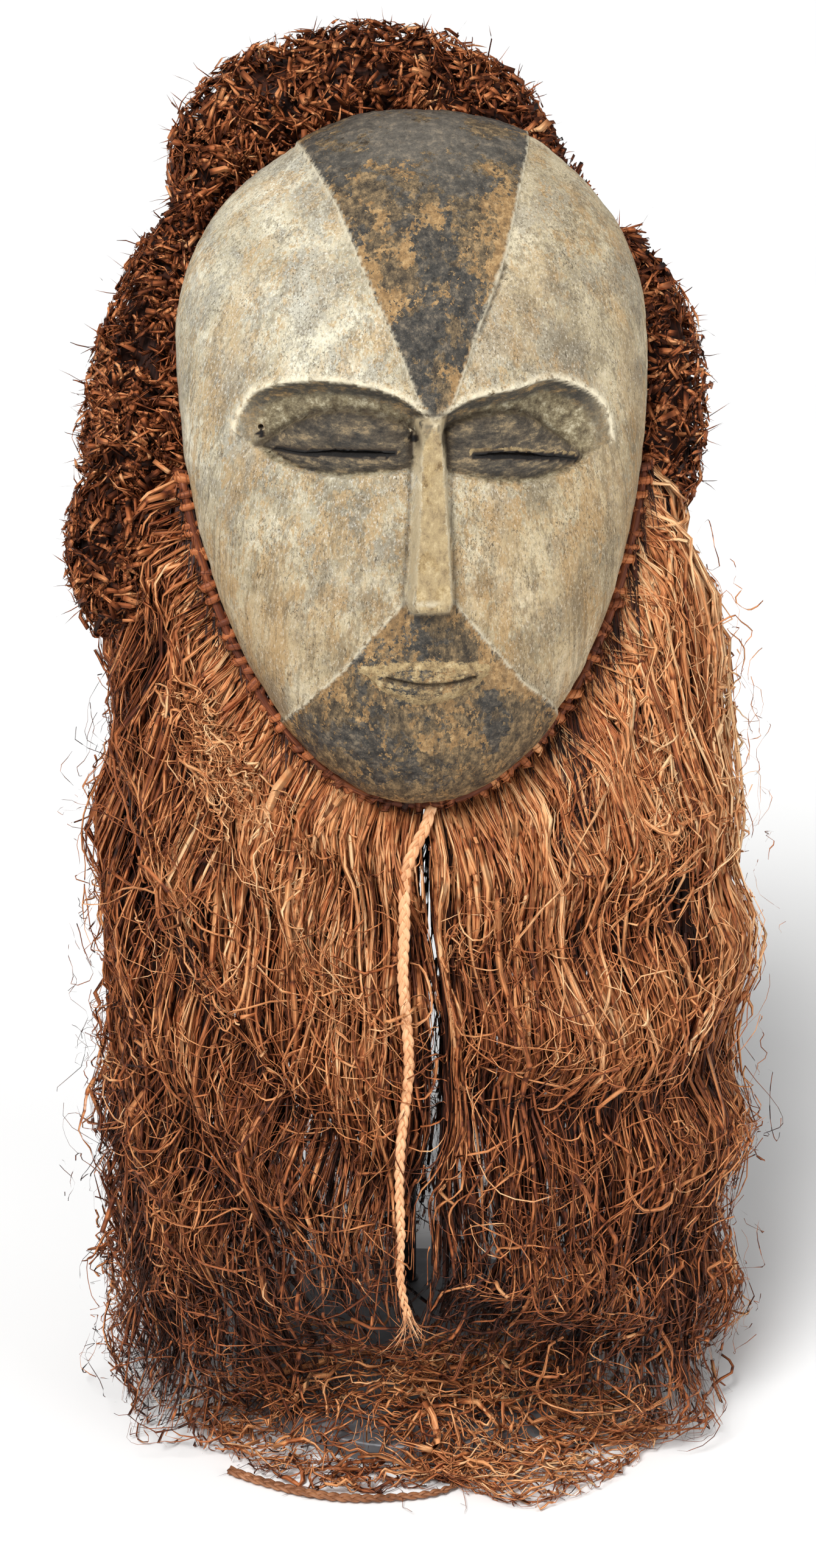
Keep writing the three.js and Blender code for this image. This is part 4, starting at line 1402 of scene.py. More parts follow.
    def roots(self, batch: FibreBatch, hank: Hank, count: int) -> None:
        """Flat ribbons that arch out of the knots and down, in sheaves."""
        rng = batch.rng
        points = 9
        start, end = hank.ends()
        sheaf = rng.integers(0, hank.locks, count)
        heading = rng.normal(0, 0.22, hank.locks)
        own = start + (end - start) * (sheaf + 0.5 + rng.normal(0, 0.34, count)) / hank.locks
        own = np.clip(own, start + 0.003, end - 0.003)
        height = self.height_at(own)
        length = rng.uniform(0.045, 0.135, count)
        flare = 0.62 * np.sin(np.clip(own, -1.6, 1.6)) * (np.abs(own) < 1.6)
        sideways, rise = self.wander(rng, length, heading[sheaf] + rng.normal(0, 0.10, count),
                                     rng.uniform(0.1, 0.5, count), 0.8, 0.7, points)
        run = np.linspace(0, 1, points) * length[:, None]
        sideways = sideways + flare[:, None] * 0.026 * (1 - np.exp(-run / 0.022))
        arch = 0.011 * hump(run - 0.02, 0.018) * rng.uniform(0.3, 1.2, (count, 1))
        inset = 0.002 - arch + rng.uniform(-0.004, 0.008, (count, 1)) * smoothstep(0.0, 0.03, run)
        up = 1 + rise / height[:, None]
        paths, deepness = self.place(own[:, None] + sideways / self.mean_radius, up, inset,
                                     np.full((count, 1), 0.003), self.side_of(hank),
                                     rng.uniform(0.6, 1.2, (count, 1)))
        paths[:, 0] = self.collar.line(own, self.root_out)
        tone = self.shade(paths, deepness) + 0.03 + hank.lightness + 0.12 * rng.normal(size=(count, 1))
        tone += 0.07 * rng.normal(size=hank.locks)[sheaf][:, None]
        batch.lay(paths, self.widths(rng, count, 2.6, 6.0), np.clip(tone, 0, 1), flat=0.16, twist=1.4,
                  taper=0.35)

    def curl(self, batch: FibreBatch, hank: Hank, around: np.ndarray, up: np.ndarray, limit: np.ndarray,
             length: np.ndarray, sway: np.ndarray, out: np.ndarray, tone: np.ndarray,
             width: tuple[float, float], any_way: float = 1.3) -> None:
        """Curling fibres, each kept near the place where it starts.

        Args:
            batch: what they are laid in.
            hank: the hank they belong to.
            around: where they are, in radians.
            up: how high, as a share.
            limit: how far from there they may go.
            length: their lengths.
            sway: how far in radians they bend.
            out: how deep they lie.
            tone: how much lighter they are than what is near them.
            width: the usual and the greatest, in millimetres.
            any_way: how far in radians they usually start off from hanging straight down.
        """
        rng = batch.rng
        points = 15
        count = len(around)
        height = self.height_at(around)
        along = np.linspace(0, 1, points)
        sideways, rise = self.wander(rng, length, any_way * rng.normal(size=count), 0.7 * sway, 0.5, 0.2,
                                     points, 2.0)
        far = np.hypot(sideways, rise)
        held = holding(far, limit[:, None])
        sideways, rise = sideways * held, rise * held
        inset = out[:, None] + 0.0045 * waves(rng, count, along, 1.2)
        level = np.minimum(up[:, None] + rise / height[:, None], 0.985)
        floor = LIFT + 0.024 * (rng.random(count) * rng.random(count))[:, None]
        paths, deepness = self.place(around[:, None] + sideways / self.mean_radius, level, inset, floor,
                                     self.side_of(hank), rng.uniform(0.2, 1.2, (count, 1)))
        tone = (self.shade(paths, deepness) + hank.lightness + tone[:, None]
                + 0.11 * rng.normal(size=(count, 1)))
        batch.lay(paths, self.widths(rng, count, *width), np.clip(tone, 0, 1), flat=0.3, twist=2.6,
                  taper=0.5)

    def tangles(self, batch: FibreBatch, hank: Hank) -> None:
        """Matted patches of curled fibre, and loose ones between them."""
        rng = batch.rng
        start, end = hank.ends()
        patch = np.repeat(np.arange(hank.tangles), hank.curls)
        centre = rng.uniform(start, end, hank.tangles)
        low = np.maximum(self.lowest(centre, rng), 0.06)
        level = low + (0.90 - low) * rng.random(hank.tangles) ** 0.9
        size = rng.uniform(0.010, 0.026, hank.tangles)
        spot = rng.normal(0, 0.75, (len(patch), 2)) * size[patch][:, None]
        height = self.height_at(centre)
        out = rng.uniform(-0.007, 0.003, hank.tangles)[patch] + rng.uniform(-0.003, 0.007, len(patch))
        self.curl(batch, hank, centre[patch] + spot[:, 0] / self.mean_radius,
                  level[patch] + spot[:, 1] / height[patch],
                  rng.uniform(0.8, 1.8, len(patch)) * size[patch], rng.uniform(0.03, 0.11, len(patch)),
                  rng.uniform(0.8, 3.2, len(patch)), out, 0.10 * rng.normal(size=hank.tangles)[patch],
                  (1.1, 3.0))
        count = hank.tangles * 6
        around = rng.uniform(start, end, count)
        low = np.maximum(self.lowest(around, rng), 0.05)
        self.curl(batch, hank, around, low + (0.97 - low) * rng.random(count), np.full(count, 0.12),
                  rng.uniform(0.06, 0.17, count), rng.uniform(0.5, 1.8, count),
                  rng.uniform(-0.007, 0.004, count), np.full(count, 0.05), (1.15, 3.4), 0.9)

    def tuft(self, batch: FibreBatch, hank: Hank, around: float, level: float, count: int) -> None:
        """A light ball of short curls that has worked loose below the knots."""
        rng = batch.rng
        spot = rng.normal(0, 0.5, (count, 2)) * self.tuft_size
        height = self.height_at(np.array([around]))[0]
        fall = np.minimum(level + spot[:, 1] / height, 0.975)
        self.curl(batch, hank, around + 1.3 * spot[:, 0] / self.mean_radius, fall,
                  np.full(count, 0.6 * self.tuft_size), rng.uniform(0.02, 0.05, count),
                  rng.uniform(1.0, 4.0, count), rng.uniform(-0.026, -0.008, count), np.full(count, 0.15),
                  (1.1, 2.8), 2.0)

    def net(self, batch: FibreBatch, hank: Hank, count: int) -> None:
        """Fine threads low down behind, painted darker as shade, seen against the light through the parting.
        """
        rng = batch.rng
        around = np.copysign(math.pi - np.abs(rng.normal(0, 0.30, count)), hank.end + hank.start)
        self.curl(batch, hank, around, rng.uniform(0.02, 0.30, count), np.full(count, 0.06),
                  rng.uniform(0.04, 0.10, count), rng.uniform(1.0, 3.0, count),
                  rng.uniform(-0.004, 0.012, count), np.full(count, -0.15), (0.7, 1.3))

    def wisps(self, batch: FibreBatch, hank: Hank, count: int) -> None:
        """Thin dark curls that stand off the cape."""
        rng = batch.rng
        around = np.radians(rng.uniform(hank.start, hank.end, count))
        low = np.maximum(self.lowest(around, rng), 0.03)
        self.curl(batch, hank, around, low + (0.95 - low) * rng.random(count), np.full(count, 0.05),
                  rng.uniform(0.05, 0.12, count), rng.uniform(1.0, 3.4, count),
                  rng.uniform(-0.022, -0.008, count), rng.uniform(-0.25, 0.0, count), (0.6, 1.3))

    def reach(self, turn: np.ndarray) -> np.ndarray:
        """How far out the fallen fibres lie, by the angle from the front in degrees."""
        spill = 0.036 * smoothstep(2, 20, turn) * smoothstep(80, 56, turn)
        return 0.125 + spill + 0.016 * smoothstep(-4, -24, turn) + 0.004 * smoothstep(-38, -58, turn)

    def nest(self, batch: FibreBatch, hank: Hank, count: int) -> None:
        """The tangle of fallen ends that lies on the front of the foot and over its edge."""
        rng = batch.rng
        points = 12
        along = np.linspace(0, 1, points)
        turn = rng.uniform(*hank.spread, count)
        radius = lerp(0.050, self.reach(turn) - 0.002, rng.random(count) ** 0.75)
        angle = np.radians(turn)
        facing = rng.choice([-1.0, 1.0], count) * 1.3 + 0.9 * rng.normal(size=count)
        sideways, inwards = self.wander(rng, rng.uniform(0.035, 0.14, count), facing,
                                        rng.uniform(0.4, 1.4, count), 0.5, 0.3, points, 1.5)
        held = holding(np.hypot(sideways, inwards), self.nest_reach)
        x = (radius * np.sin(angle))[:, None] + sideways * held
        y = (-radius * np.cos(angle))[:, None] + 0.7 * inwards * held
        far = np.hypot(x, y)
        most = self.reach(np.degrees(np.arctan2(x, -y))) + rng.uniform(-0.004, 0.004, (count, 1))
        pull = np.minimum(1, most / np.maximum(far, 1e-6))
        x, y = x * pull, y * pull
        tall = 0.008 + 0.036 * hump(radius - 0.072, 0.034)
        level = rng.random(count) ** 0.7 * tall
        z = level[:, None] + 0.0045 * waves(rng, count, along, 1.2)
        paths = self.settled(np.stack([x, y, np.maximum(z, 0)], axis=2), np.maximum(z, 0) + 0.001)
        lit = (level / tall)[:, None]
        tone = 0.42 + 0.27 * lit + 0.06 * smoothstep(0.0, 0.06, x) + 0.12 * rng.normal(size=(count, 1))
        batch.lay(paths, self.widths(rng, count, 1.4, 4.0), np.clip(tone, 0, 1), flat=0.28, twist=2.0,
                  taper=0.5)

    def strays(self, batch: FibreBatch, hank: Hank, count: int) -> None:
        """Single thin fibres that have slid out onto the floor."""
        rng = batch.rng
        points = 10
        turn = np.radians(rng.uniform(*hank.spread, count))
        far = rng.uniform(0.100, 0.128, count)
        sideways, outwards = self.wander(rng, rng.uniform(0.03, 0.09, count), rng.normal(0, 1.0, count),
                                         rng.uniform(0.4, 1.2, count), 0.6, 0.3, points, 1.2)
        x = (far * np.sin(turn))[:, None] + sideways
        y = (-far * np.cos(turn))[:, None] + outwards * 0.6
        z = LIFT + 0.003 * np.abs(waves(rng, count, np.linspace(0, 1, points), 1.0))
        paths = self.settled(np.stack([x, y, z], axis=2), z)
        tone = 0.16 + 0.12 * rng.normal(size=count)
        batch.lay(paths, rng.uniform(0.4, 0.9, count) * MM, np.clip(tone, 0, 1), flat=0.5, twist=1.0,
                  taper=0.5)

    def build(self, hank: Hank, finish: bpy.types.Material, slot: Slot, seed: int) -> bpy.types.Object:
        """One hank as one mesh."""
        batch = FibreBatch(np.random.default_rng(seed))
        in_front = bool(self.side_of(hank))
        self.underlay(batch, hank, (self.under_front if in_front else self.under_back) * hank.locks)
        self.locks(batch, hank)
        self.roots(batch, hank, self.roots_per_lock * hank.locks)
        self.tangles(batch, hank)
        self.wisps(batch, hank, (self.wisps_front if in_front else self.wisps_back) * hank.locks)
        if abs(hank.start + hank.end) > self.back_limit:
            self.net(batch, hank, self.net_count)
        if hank.tuft:
            self.tuft(batch, hank, math.radians(hank.tuft), self.tuft_level, self.tuft_count)
        if hank.nest:
            self.nest(batch, hank, hank.nest)
            self.strays(batch, hank, self.stray_count)
        return finish_piece(batch.build(hank.node + "_raffia"), finish, slot, hank.node)


# The cords


@dataclass(frozen=True)
class Plait:
    """A flat plait of three strands along a route."""

    name: str
    route: tuple[Triple, ...]
    length: float
    width: float
    facing: Triple
    stiffness: str
    lightness: float
    period: float = 9.5 * MM
    ring: float = 1.3 * MM
    path_points: int = 26
    frayed: int = 26

    def path(self, count: int) -> np.ndarray:
        """The cord's middle line as count points."""
        return evenly(smooth_line(np.array(self.route) * MM, 24), count)

    def build(self, finish: bpy.types.Material, slot: Slot, node: str, seed: int) -> list[bpy.types.Object]:
        """The plait and its frayed end."""
        rng = np.random.default_rng(seed)
        rings = int(self.length / self.ring)
        line = self.path(rings)
        along = unit(np.gradient(line, axis=0))
        side = unit(np.cross(along, np.array(self.facing)))
        front = np.cross(side, along)
        run = np.linspace(0, self.length, rings)
        batch = FibreBatch(rng)
        strand = 0.56 * self.width
        for third in range(3):
            phase = 2 * math.pi * (run / (2 * self.period) + third / 3)
            swing = (self.width - strand) / 2 * np.sin(phase) * 1.08
            depth = 0.14 * self.width * np.sin(2 * phase)
            wobble = 0.03 * self.width * waves(rng, 1, run / self.length, 9)[0]
            paths = line + side * (swing + wobble)[:, None] + front * depth[:, None]
            thick = np.full((1, rings), strand) * (1 + 0.06 * waves(rng, 1, run / self.length, 22))
            tone = (0.55 + self.lightness + 0.10 * waves(rng, 1, run / self.length, 14))
            batch.lay(keep_in(paths)[None], thick, np.clip(tone, 0, 1), 0.46, facing=-front[None], sides=8)
        plait = finish_piece(batch.build(self.name), finish, slot, node)
        fray = finish_piece(self.fray(rng, line, along, side, front), finish, slot)
        return [plait, fray]

    def fray(self, rng: np.random.Generator, line: np.ndarray, along: np.ndarray, side: np.ndarray,
             front: np.ndarray) -> bpy.types.Object:
        """The loose fibre ends at the foot of the plait."""
        batch = FibreBatch(rng)
        count = self.frayed
        s = np.linspace(0, 1, 7)
        spread = rng.normal(0, 0.45, (count, 1))
        lift = rng.normal(0, 0.25, (count, 1))
        start = line[-1] - along[-1] * 0.004 + side[-1] * (rng.uniform(-0.4, 0.4, (count, 1)) * self.width)
        length = rng.uniform(0.010, 0.026, (count, 1))
        reach = length * s
        paths = (start[:, None] + along[-1] * reach[..., None] + side[-1] * (spread * reach * s)[..., None]
                 + front[-1] * (lift * reach * s)[..., None])
        batch.lay(keep_in(paths), rng.uniform(0.5, 1.0, count) * MM,
                  0.5 + self.lightness + 0.12 * rng.normal(size=count), 0.4)
        return batch.build(self.name + "_fray")


# The stand


@dataclass(frozen=True)
class Stand:
    """The round steel foot, the post and the two short arms that hold the mask from inside."""

    base_radius: float = 0.104
    base_height: float = 0.012
    edge: float = 1.5 * MM
    post_radius: float = 4.0 * MM
    post_place: tuple[float, float] = (0.004, 0.070)
    arm_radius: float = 3.0 * MM
    weld: float = 2.4 * MM

    def rod(self, bm: bmesh.types.BMesh, start: Vector, end: Vector, radius: float, edge: float) -> None:
        """Adds a round rod with softened ends."""
        run = end - start
        turn = run.to_track_quat("Z", "Y").to_matrix().to_4x4()
        made = bmesh.ops.create_cone(
            bm, cap_ends=True, segments=40, radius1=radius, radius2=radius, depth=run.length,
            matrix=Matrix.Translation((start + end) / 2) @ turn)["verts"]
        rims = [e for e in {e for v in made for e in v.link_edges}
                if any(len(f.verts) > 4 for f in e.link_faces)]
        soften(bm, rims, edge)

    def fillet(self, bm: bmesh.types.BMesh, centre: Vector, axis: Vector, radius: float) -> None:
        """Adds the bead of a weld round a rod."""
        turn = axis.to_track_quat("Z", "Y").to_matrix().to_4x4()
        place = Matrix.Translation(centre) @ turn
        ring = bmesh.ops.create_circle(bm, segments=10, radius=self.weld * 0.6)["verts"]
        upright = Matrix.Translation((radius, 0, 0)) @ Matrix.Rotation(math.pi / 2, 4, "X")
        bmesh.ops.transform(bm, verts=ring, matrix=place @ upright)
        edges = list({e for v in ring for e in v.link_edges})
        bmesh.ops.spin(bm, geom=ring + edges, cent=centre, axis=axis, angle=2 * math.pi, steps=36,
                       use_merge=True, dvec=(0, 0, 0), use_duplicate=False)

    def finished(self, name: str, bm: bmesh.types.BMesh, finish: bpy.types.Material, slot: Slot,
                 node: str) -> bpy.types.Object:
        """A piece of the stand, its flat faces kept flat while its bevels shade smoothly."""
        obj = publish(name, bm)
        obj.data.set_sharp_from_angle(angle=math.radians(35))
        return finish_piece(obj, finish, slot, node)

    def foot(self, finish: bpy.types.Material) -> bpy.types.Object:
        """The round foot."""
        bm = bmesh.new()
        bmesh.ops.create_cone(
            bm, cap_ends=True, segments=160, radius1=self.base_radius, radius2=self.base_radius,
            depth=self.base_height, matrix=Matrix.Translation((0, 0, self.base_height / 2)))
        rims = [e for e in bm.edges if abs(e.verts[0].co.z - e.verts[1].co.z) < 1e-6]
        soften(bm, rims, self.edge, 4)
        return self.finished("stand_foot_plate", bm, finish, Slot.GREY_STEEL, "stand_base")

    def post(self, finish: bpy.types.Material) -> bpy.types.Object:
        """The upright rod with its weld on the foot."""
        bm = bmesh.new()
        low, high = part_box("stand_post")
        x, y = self.post_place
        self.rod(bm, Vector((x, y, low[2])), Vector((x, y, high[2])), self.post_radius, 1.0 * MM)
        self.fillet(bm, Vector((x, y, self.base_height + 0.3 * MM)), Vector((0, 0, 1)), self.post_radius)
        bmesh.ops.recalc_face_normals(bm, faces=bm.faces)
        return self.finished("stand_post_rod", bm, finish, Slot.BLACK_STEEL, "stand_post")

    def arms(self, finish: bpy.types.Material) -> list[bpy.types.Object]:
        """The arm behind the forehead with its pad, and the arm with the shelf under the chin."""
        made = []
        x, y = self.post_place
        for node, flat in (("stand_upper_arm", False), ("stand_cradle", True)):
            low, high = (Vector(corner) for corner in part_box(node))
            bm = bmesh.new()
            level = (low.z + high.z) / 2
            front = low.y + 2.0 * MM
            back = y - self.post_radius - 0.2 * MM
            self.rod(bm, Vector((x, back, level)), Vector((x, front, level)), self.arm_radius, 0.6 * MM)
            self.fillet(bm, Vector((x, back + 0.1 * MM, level)), Vector((0, 1, 0)), self.arm_radius)
            if flat:
                size = Vector(((high.x - low.x) / 2, 7 * MM, 1.5 * MM))
                centre = Vector((x, low.y + size.y, level))
                place = Matrix.Translation(centre) @ Matrix.Diagonal((*size, 1))
                plate = bmesh.ops.create_cube(bm, size=2, matrix=place)
                edges = list({e for v in plate["verts"] for e in v.link_edges})
                soften(bm, edges, 0.8 * MM)
            else:
                self.rod(bm, Vector((x, low.y + 3 * MM, level)), Vector((x, low.y, level)),
                         (high.x - low.x) / 2, 0.8 * MM)
            bmesh.ops.recalc_face_normals(bm, faces=bm.faces)
            made.append(self.finished(node + "_rod", bm, finish, Slot.BLACK_STEEL, node))
        return made


# Finishes


def srgb(red: float, green: float, blue: float) -> tuple[float, float, float, float]:
    """A colour from 0 to 255 as seen on a screen, in the linear values that a shader takes."""
    linear = []
    for value in (red, green, blue):
        share = value / 255
        linear.append(share / 12.92 if share <= 0.04045 else ((share + 0.055) / 1.055) ** 2.4)
    return (*linear, 1.0)


class Graph:
    """Builds a node tree one node at a time."""

    def __init__(self, tree: bpy.types.NodeTree) -> None:
        """Keeps the tree."""
        self.tree = tree
        self.count = 0

    def node(self, kind: str, inputs: Optional[dict] = None, **settings: object) -> bpy.types.Node:
        """Adds a node.

        Args:
            kind: the node's type.
            inputs: socket names or numbers, each with a value or another socket.
            settings: the node's own options.

        Returns:
            The node.
        """
        node = self.tree.nodes.new(kind)
        node.location = (self.count * 30, 0)
        self.count += 1
        for key, value in settings.items():
            setattr(node, key, value)
        for key, value in (inputs or {}).items():
            if isinstance(value, Socket):
                self.tree.links.new(value, node.inputs[key])
            else:
                node.inputs[key].default_value = value
        return node

    def attribute(self, name: str) -> Socket:
        """A value that the mesh carries."""
        return self.node("ShaderNodeAttribute", attribute_name=name).outputs["Fac"]

    def math(self, operation: str, *values: object, clamp: bool = False) -> Socket:
        """One step of arithmetic."""
        return self.node("ShaderNodeMath", dict(enumerate(values)), operation=operation,
                         use_clamp=clamp).outputs[0]

    def plus(self, first: object, second: object, clamp: bool = False) -> Socket:
        """A sum."""
        return self.math("ADD", first, second, clamp=clamp)

    def minus(self, first: object, second: object, clamp: bool = False) -> Socket:
        """A difference."""
        return self.math("SUBTRACT", first, second, clamp=clamp)

    def times(self, first: object, second: object) -> Socket:
        """A product."""
        return self.math("MULTIPLY", first, second)

    def place(self) -> Socket:
        """The point, in the object's own frame."""
        return self.node("ShaderNodeTexCoord").outputs["Object"]

    def axes(self, vector: object) -> bpy.types.bpy_prop_collection:
        """The parts of a vector, X, Y and Z."""
        return self.node("ShaderNodeSeparateXYZ", {"Vector": vector}).outputs

    def dress(self, shader: bpy.types.Node, colour: object, rough: object, height: object, strength: float,
              distance: float) -> None:
        """Gives a Principled shader its colour, its roughness and its fine relief."""
        bump = self.node("ShaderNodeBump", {"Strength": strength, "Distance": distance, "Height": height})
        for key, value in (("Base Color", colour), ("Roughness", rough), ("Normal", bump.outputs["Normal"])):
            self.tree.links.new(value, shader.inputs[key])

    def rise(self, value: object, low: float, high: float, to_low: float = 0.0, to_high: float = 1.0,
             smooth: bool = True) -> Socket:
        """A value moved from one range to another."""
        kind = "SMOOTHSTEP" if smooth else "LINEAR"
        inputs = {"Value": value, "From Min": low, "From Max": high, "To Min": to_low, "To Max": to_high}
        return self.node("ShaderNodeMapRange", inputs, interpolation_type=kind).outputs["Result"]

    def noise(self, vector: object, scale: float, detail: float = 4.0, rough: float = 0.6,
              distortion: float = 0.0) -> Socket:
        """Cloudy values from 0 to 1."""
        inputs = {"Vector": vector, "Scale": scale, "Detail": detail, "Roughness": rough,
                  "Distortion": distortion}
        return self.node("ShaderNodeTexNoise", inputs).outputs["Fac"]

    def mapped(self, vector: object, scale: Triple = (1, 1, 1), turn: Triple = (0, 0, 0),
               move: Triple = (0, 0, 0)) -> Socket:
        """A vector moved, turned and stretched."""
        return self.node("ShaderNodeMapping",
                         {"Vector": vector, "Location": move, "Rotation": turn, "Scale": scale}).outputs[0]

    def mix(self, share: object, first: object, second: object, blend: str = "MIX") -> Socket:
        """A blend of two colours."""
        node = self.node("ShaderNodeMix", {0: share, 6: first, 7: second}, data_type="RGBA",
                         blend_type=blend, clamp_factor=True)
        return node.outputs[2]

    def ramp(self, value: object, *stops: tuple[float, Triple]) -> Socket:
        """Colours along a value, each stop a place and a screen colour."""
        node = self.node("ShaderNodeValToRGB", {"Fac": value})
        ramp = node.color_ramp
        while len(ramp.elements) < len(stops):
            ramp.elements.new(0.5)
        for element, (place, colour) in zip(ramp.elements, stops):
            element.position = place
            element.color = srgb(*colour)
        return node.outputs["Color"]

    def group(self, tree: bpy.types.NodeTree, **inputs: object) -> bpy.types.Node:
        """Places a shared group with its own values."""
        node = self.node("ShaderNodeGroup", node_tree=tree)
        for key, value in inputs.items():
            socket = node.inputs[key.replace("_", " ")]
            if isinstance(value, Socket):
                self.tree.links.new(value, socket)
            else:
                socket.default_value = value
        return node


def new_group(name: str, inputs: dict[str, tuple[str, object]],
              outputs: dict[str, str]) -> tuple[bpy.types.NodeTree, Graph, bpy.types.Node, bpy.types.Node]:
    """Starts a shared shader group.

    Args:
        name: its name.
        inputs: names with a kind, Float, Vector or Color, and a usual value.
        outputs: names with a kind.

    Returns:
        The tree, its graph, and its input and output nodes.
    """
    tree = bpy.data.node_groups.new(name, "ShaderNodeTree")
    for key, (kind, value) in inputs.items():
        socket = tree.interface.new_socket(name=key, in_out="INPUT", socket_type="NodeSocket" + kind)
        if value is not None:
            socket.default_value = value
    for key, kind in outputs.items():
        tree.interface.new_socket(name=key, in_out="OUTPUT", socket_type="NodeSocket" + kind)
    graph = Graph(tree)
    return tree, graph, graph.node("NodeGroupInput"), graph.node("NodeGroupOutput")


def patch_group() -> bpy.types.NodeTree:
    """Uneven patches with crumbly borders, as a mask."""
    tree, graph, given, put_out = new_group(
        "patches", {"Vector": ("Vector", None), "Scale": ("Float", 30.0), "Cover": ("Float", 0.5),
                    "Softness": ("Float", 0.06), "Crumble": ("Float", 0.25)}, {"Mask": "Float"})
    vector = given.outputs["Vector"]
    large = graph.noise(vector, given.outputs["Scale"], 5.0, 0.62, 0.35)
    fine_scale = graph.times(given.outputs["Scale"], 9.0)
    fine = graph.noise(vector, fine_scale, 3.0, 0.7)
    rough = graph.times(graph.minus(fine, 0.5), given.outputs["Crumble"])
    value = graph.plus(large, rough)
    level = graph.minus(0.5, graph.times(graph.minus(given.outputs["Cover"], 0.5), 0.5))
    low = graph.minus(level, given.outputs["Softness"])
    high = graph.plus(level, given.outputs["Softness"])
    graph.tree.links.new(graph.rise(value, low, high), put_out.inputs["Mask"])
    return tree


def streak_group() -> bpy.types.NodeTree:
    """Fine parallel streaks along the vector's last axis: a mask and a height."""
    tree, graph, given, put_out = new_group(
        "streaks", {"Vector": ("Vector", None), "Scale": ("Float", 200.0), "Stretch": ("Float", 0.06)},
        {"Mask": "Float", "Height": "Float"})
    along = graph.node("ShaderNodeCombineXYZ",
                       {"X": 1.0, "Y": 1.0, "Z": given.outputs["Stretch"]}).outputs[0]
    vector = graph.node("ShaderNodeVectorMath", {0: given.outputs["Vector"], 1: along},
                        operation="MULTIPLY").outputs[0]
    first = graph.noise(vector, given.outputs["Scale"], 5.0, 0.65)
    wide_scale = graph.times(given.outputs["Scale"], 0.22)
    second = graph.noise(vector, wide_scale, 2.0, 0.5)
    mask = graph.plus(graph.times(first, 0.6), graph.times(second, 0.4))
    graph.tree.links.new(graph.rise(mask, 0.38, 0.62), put_out.inputs["Mask"])
    graph.tree.links.new(first, put_out.inputs["Height"])
    return tree


class SharedEffects:
    """The node groups that several finishes use."""

    def __init__(self) -> None:
        """Builds both groups."""
        self.patches = patch_group()
        self.streaks = streak_group()

    def patch(self, graph: Graph, vector: object, scale: float, cover: object, softness: float,
              crumble: float) -> Socket:
        """Uneven patches, as a mask."""
        return graph.group(self.patches, Vector=vector, Scale=scale, Cover=cover, Softness=softness,
                           Crumble=crumble).outputs[0]

    def streak(self, graph: Graph, vector: object, scale: float, stretch: float) -> bpy.types.Node:
        """Fine parallel streaks, as a node with a mask and a height."""
        return graph.group(self.streaks, Vector=vector, Scale=scale, Stretch=stretch)


def new_finish(name: str) -> tuple[bpy.types.Material, Graph, bpy.types.Node]:
    """Starts a material and gives its graph and its Principled shader."""
    material = bpy.data.materials.new(name)
    material.use_nodes = True
    graph = Graph(material.node_tree)
    return material, graph, material.node_tree.nodes["Principled BSDF"]


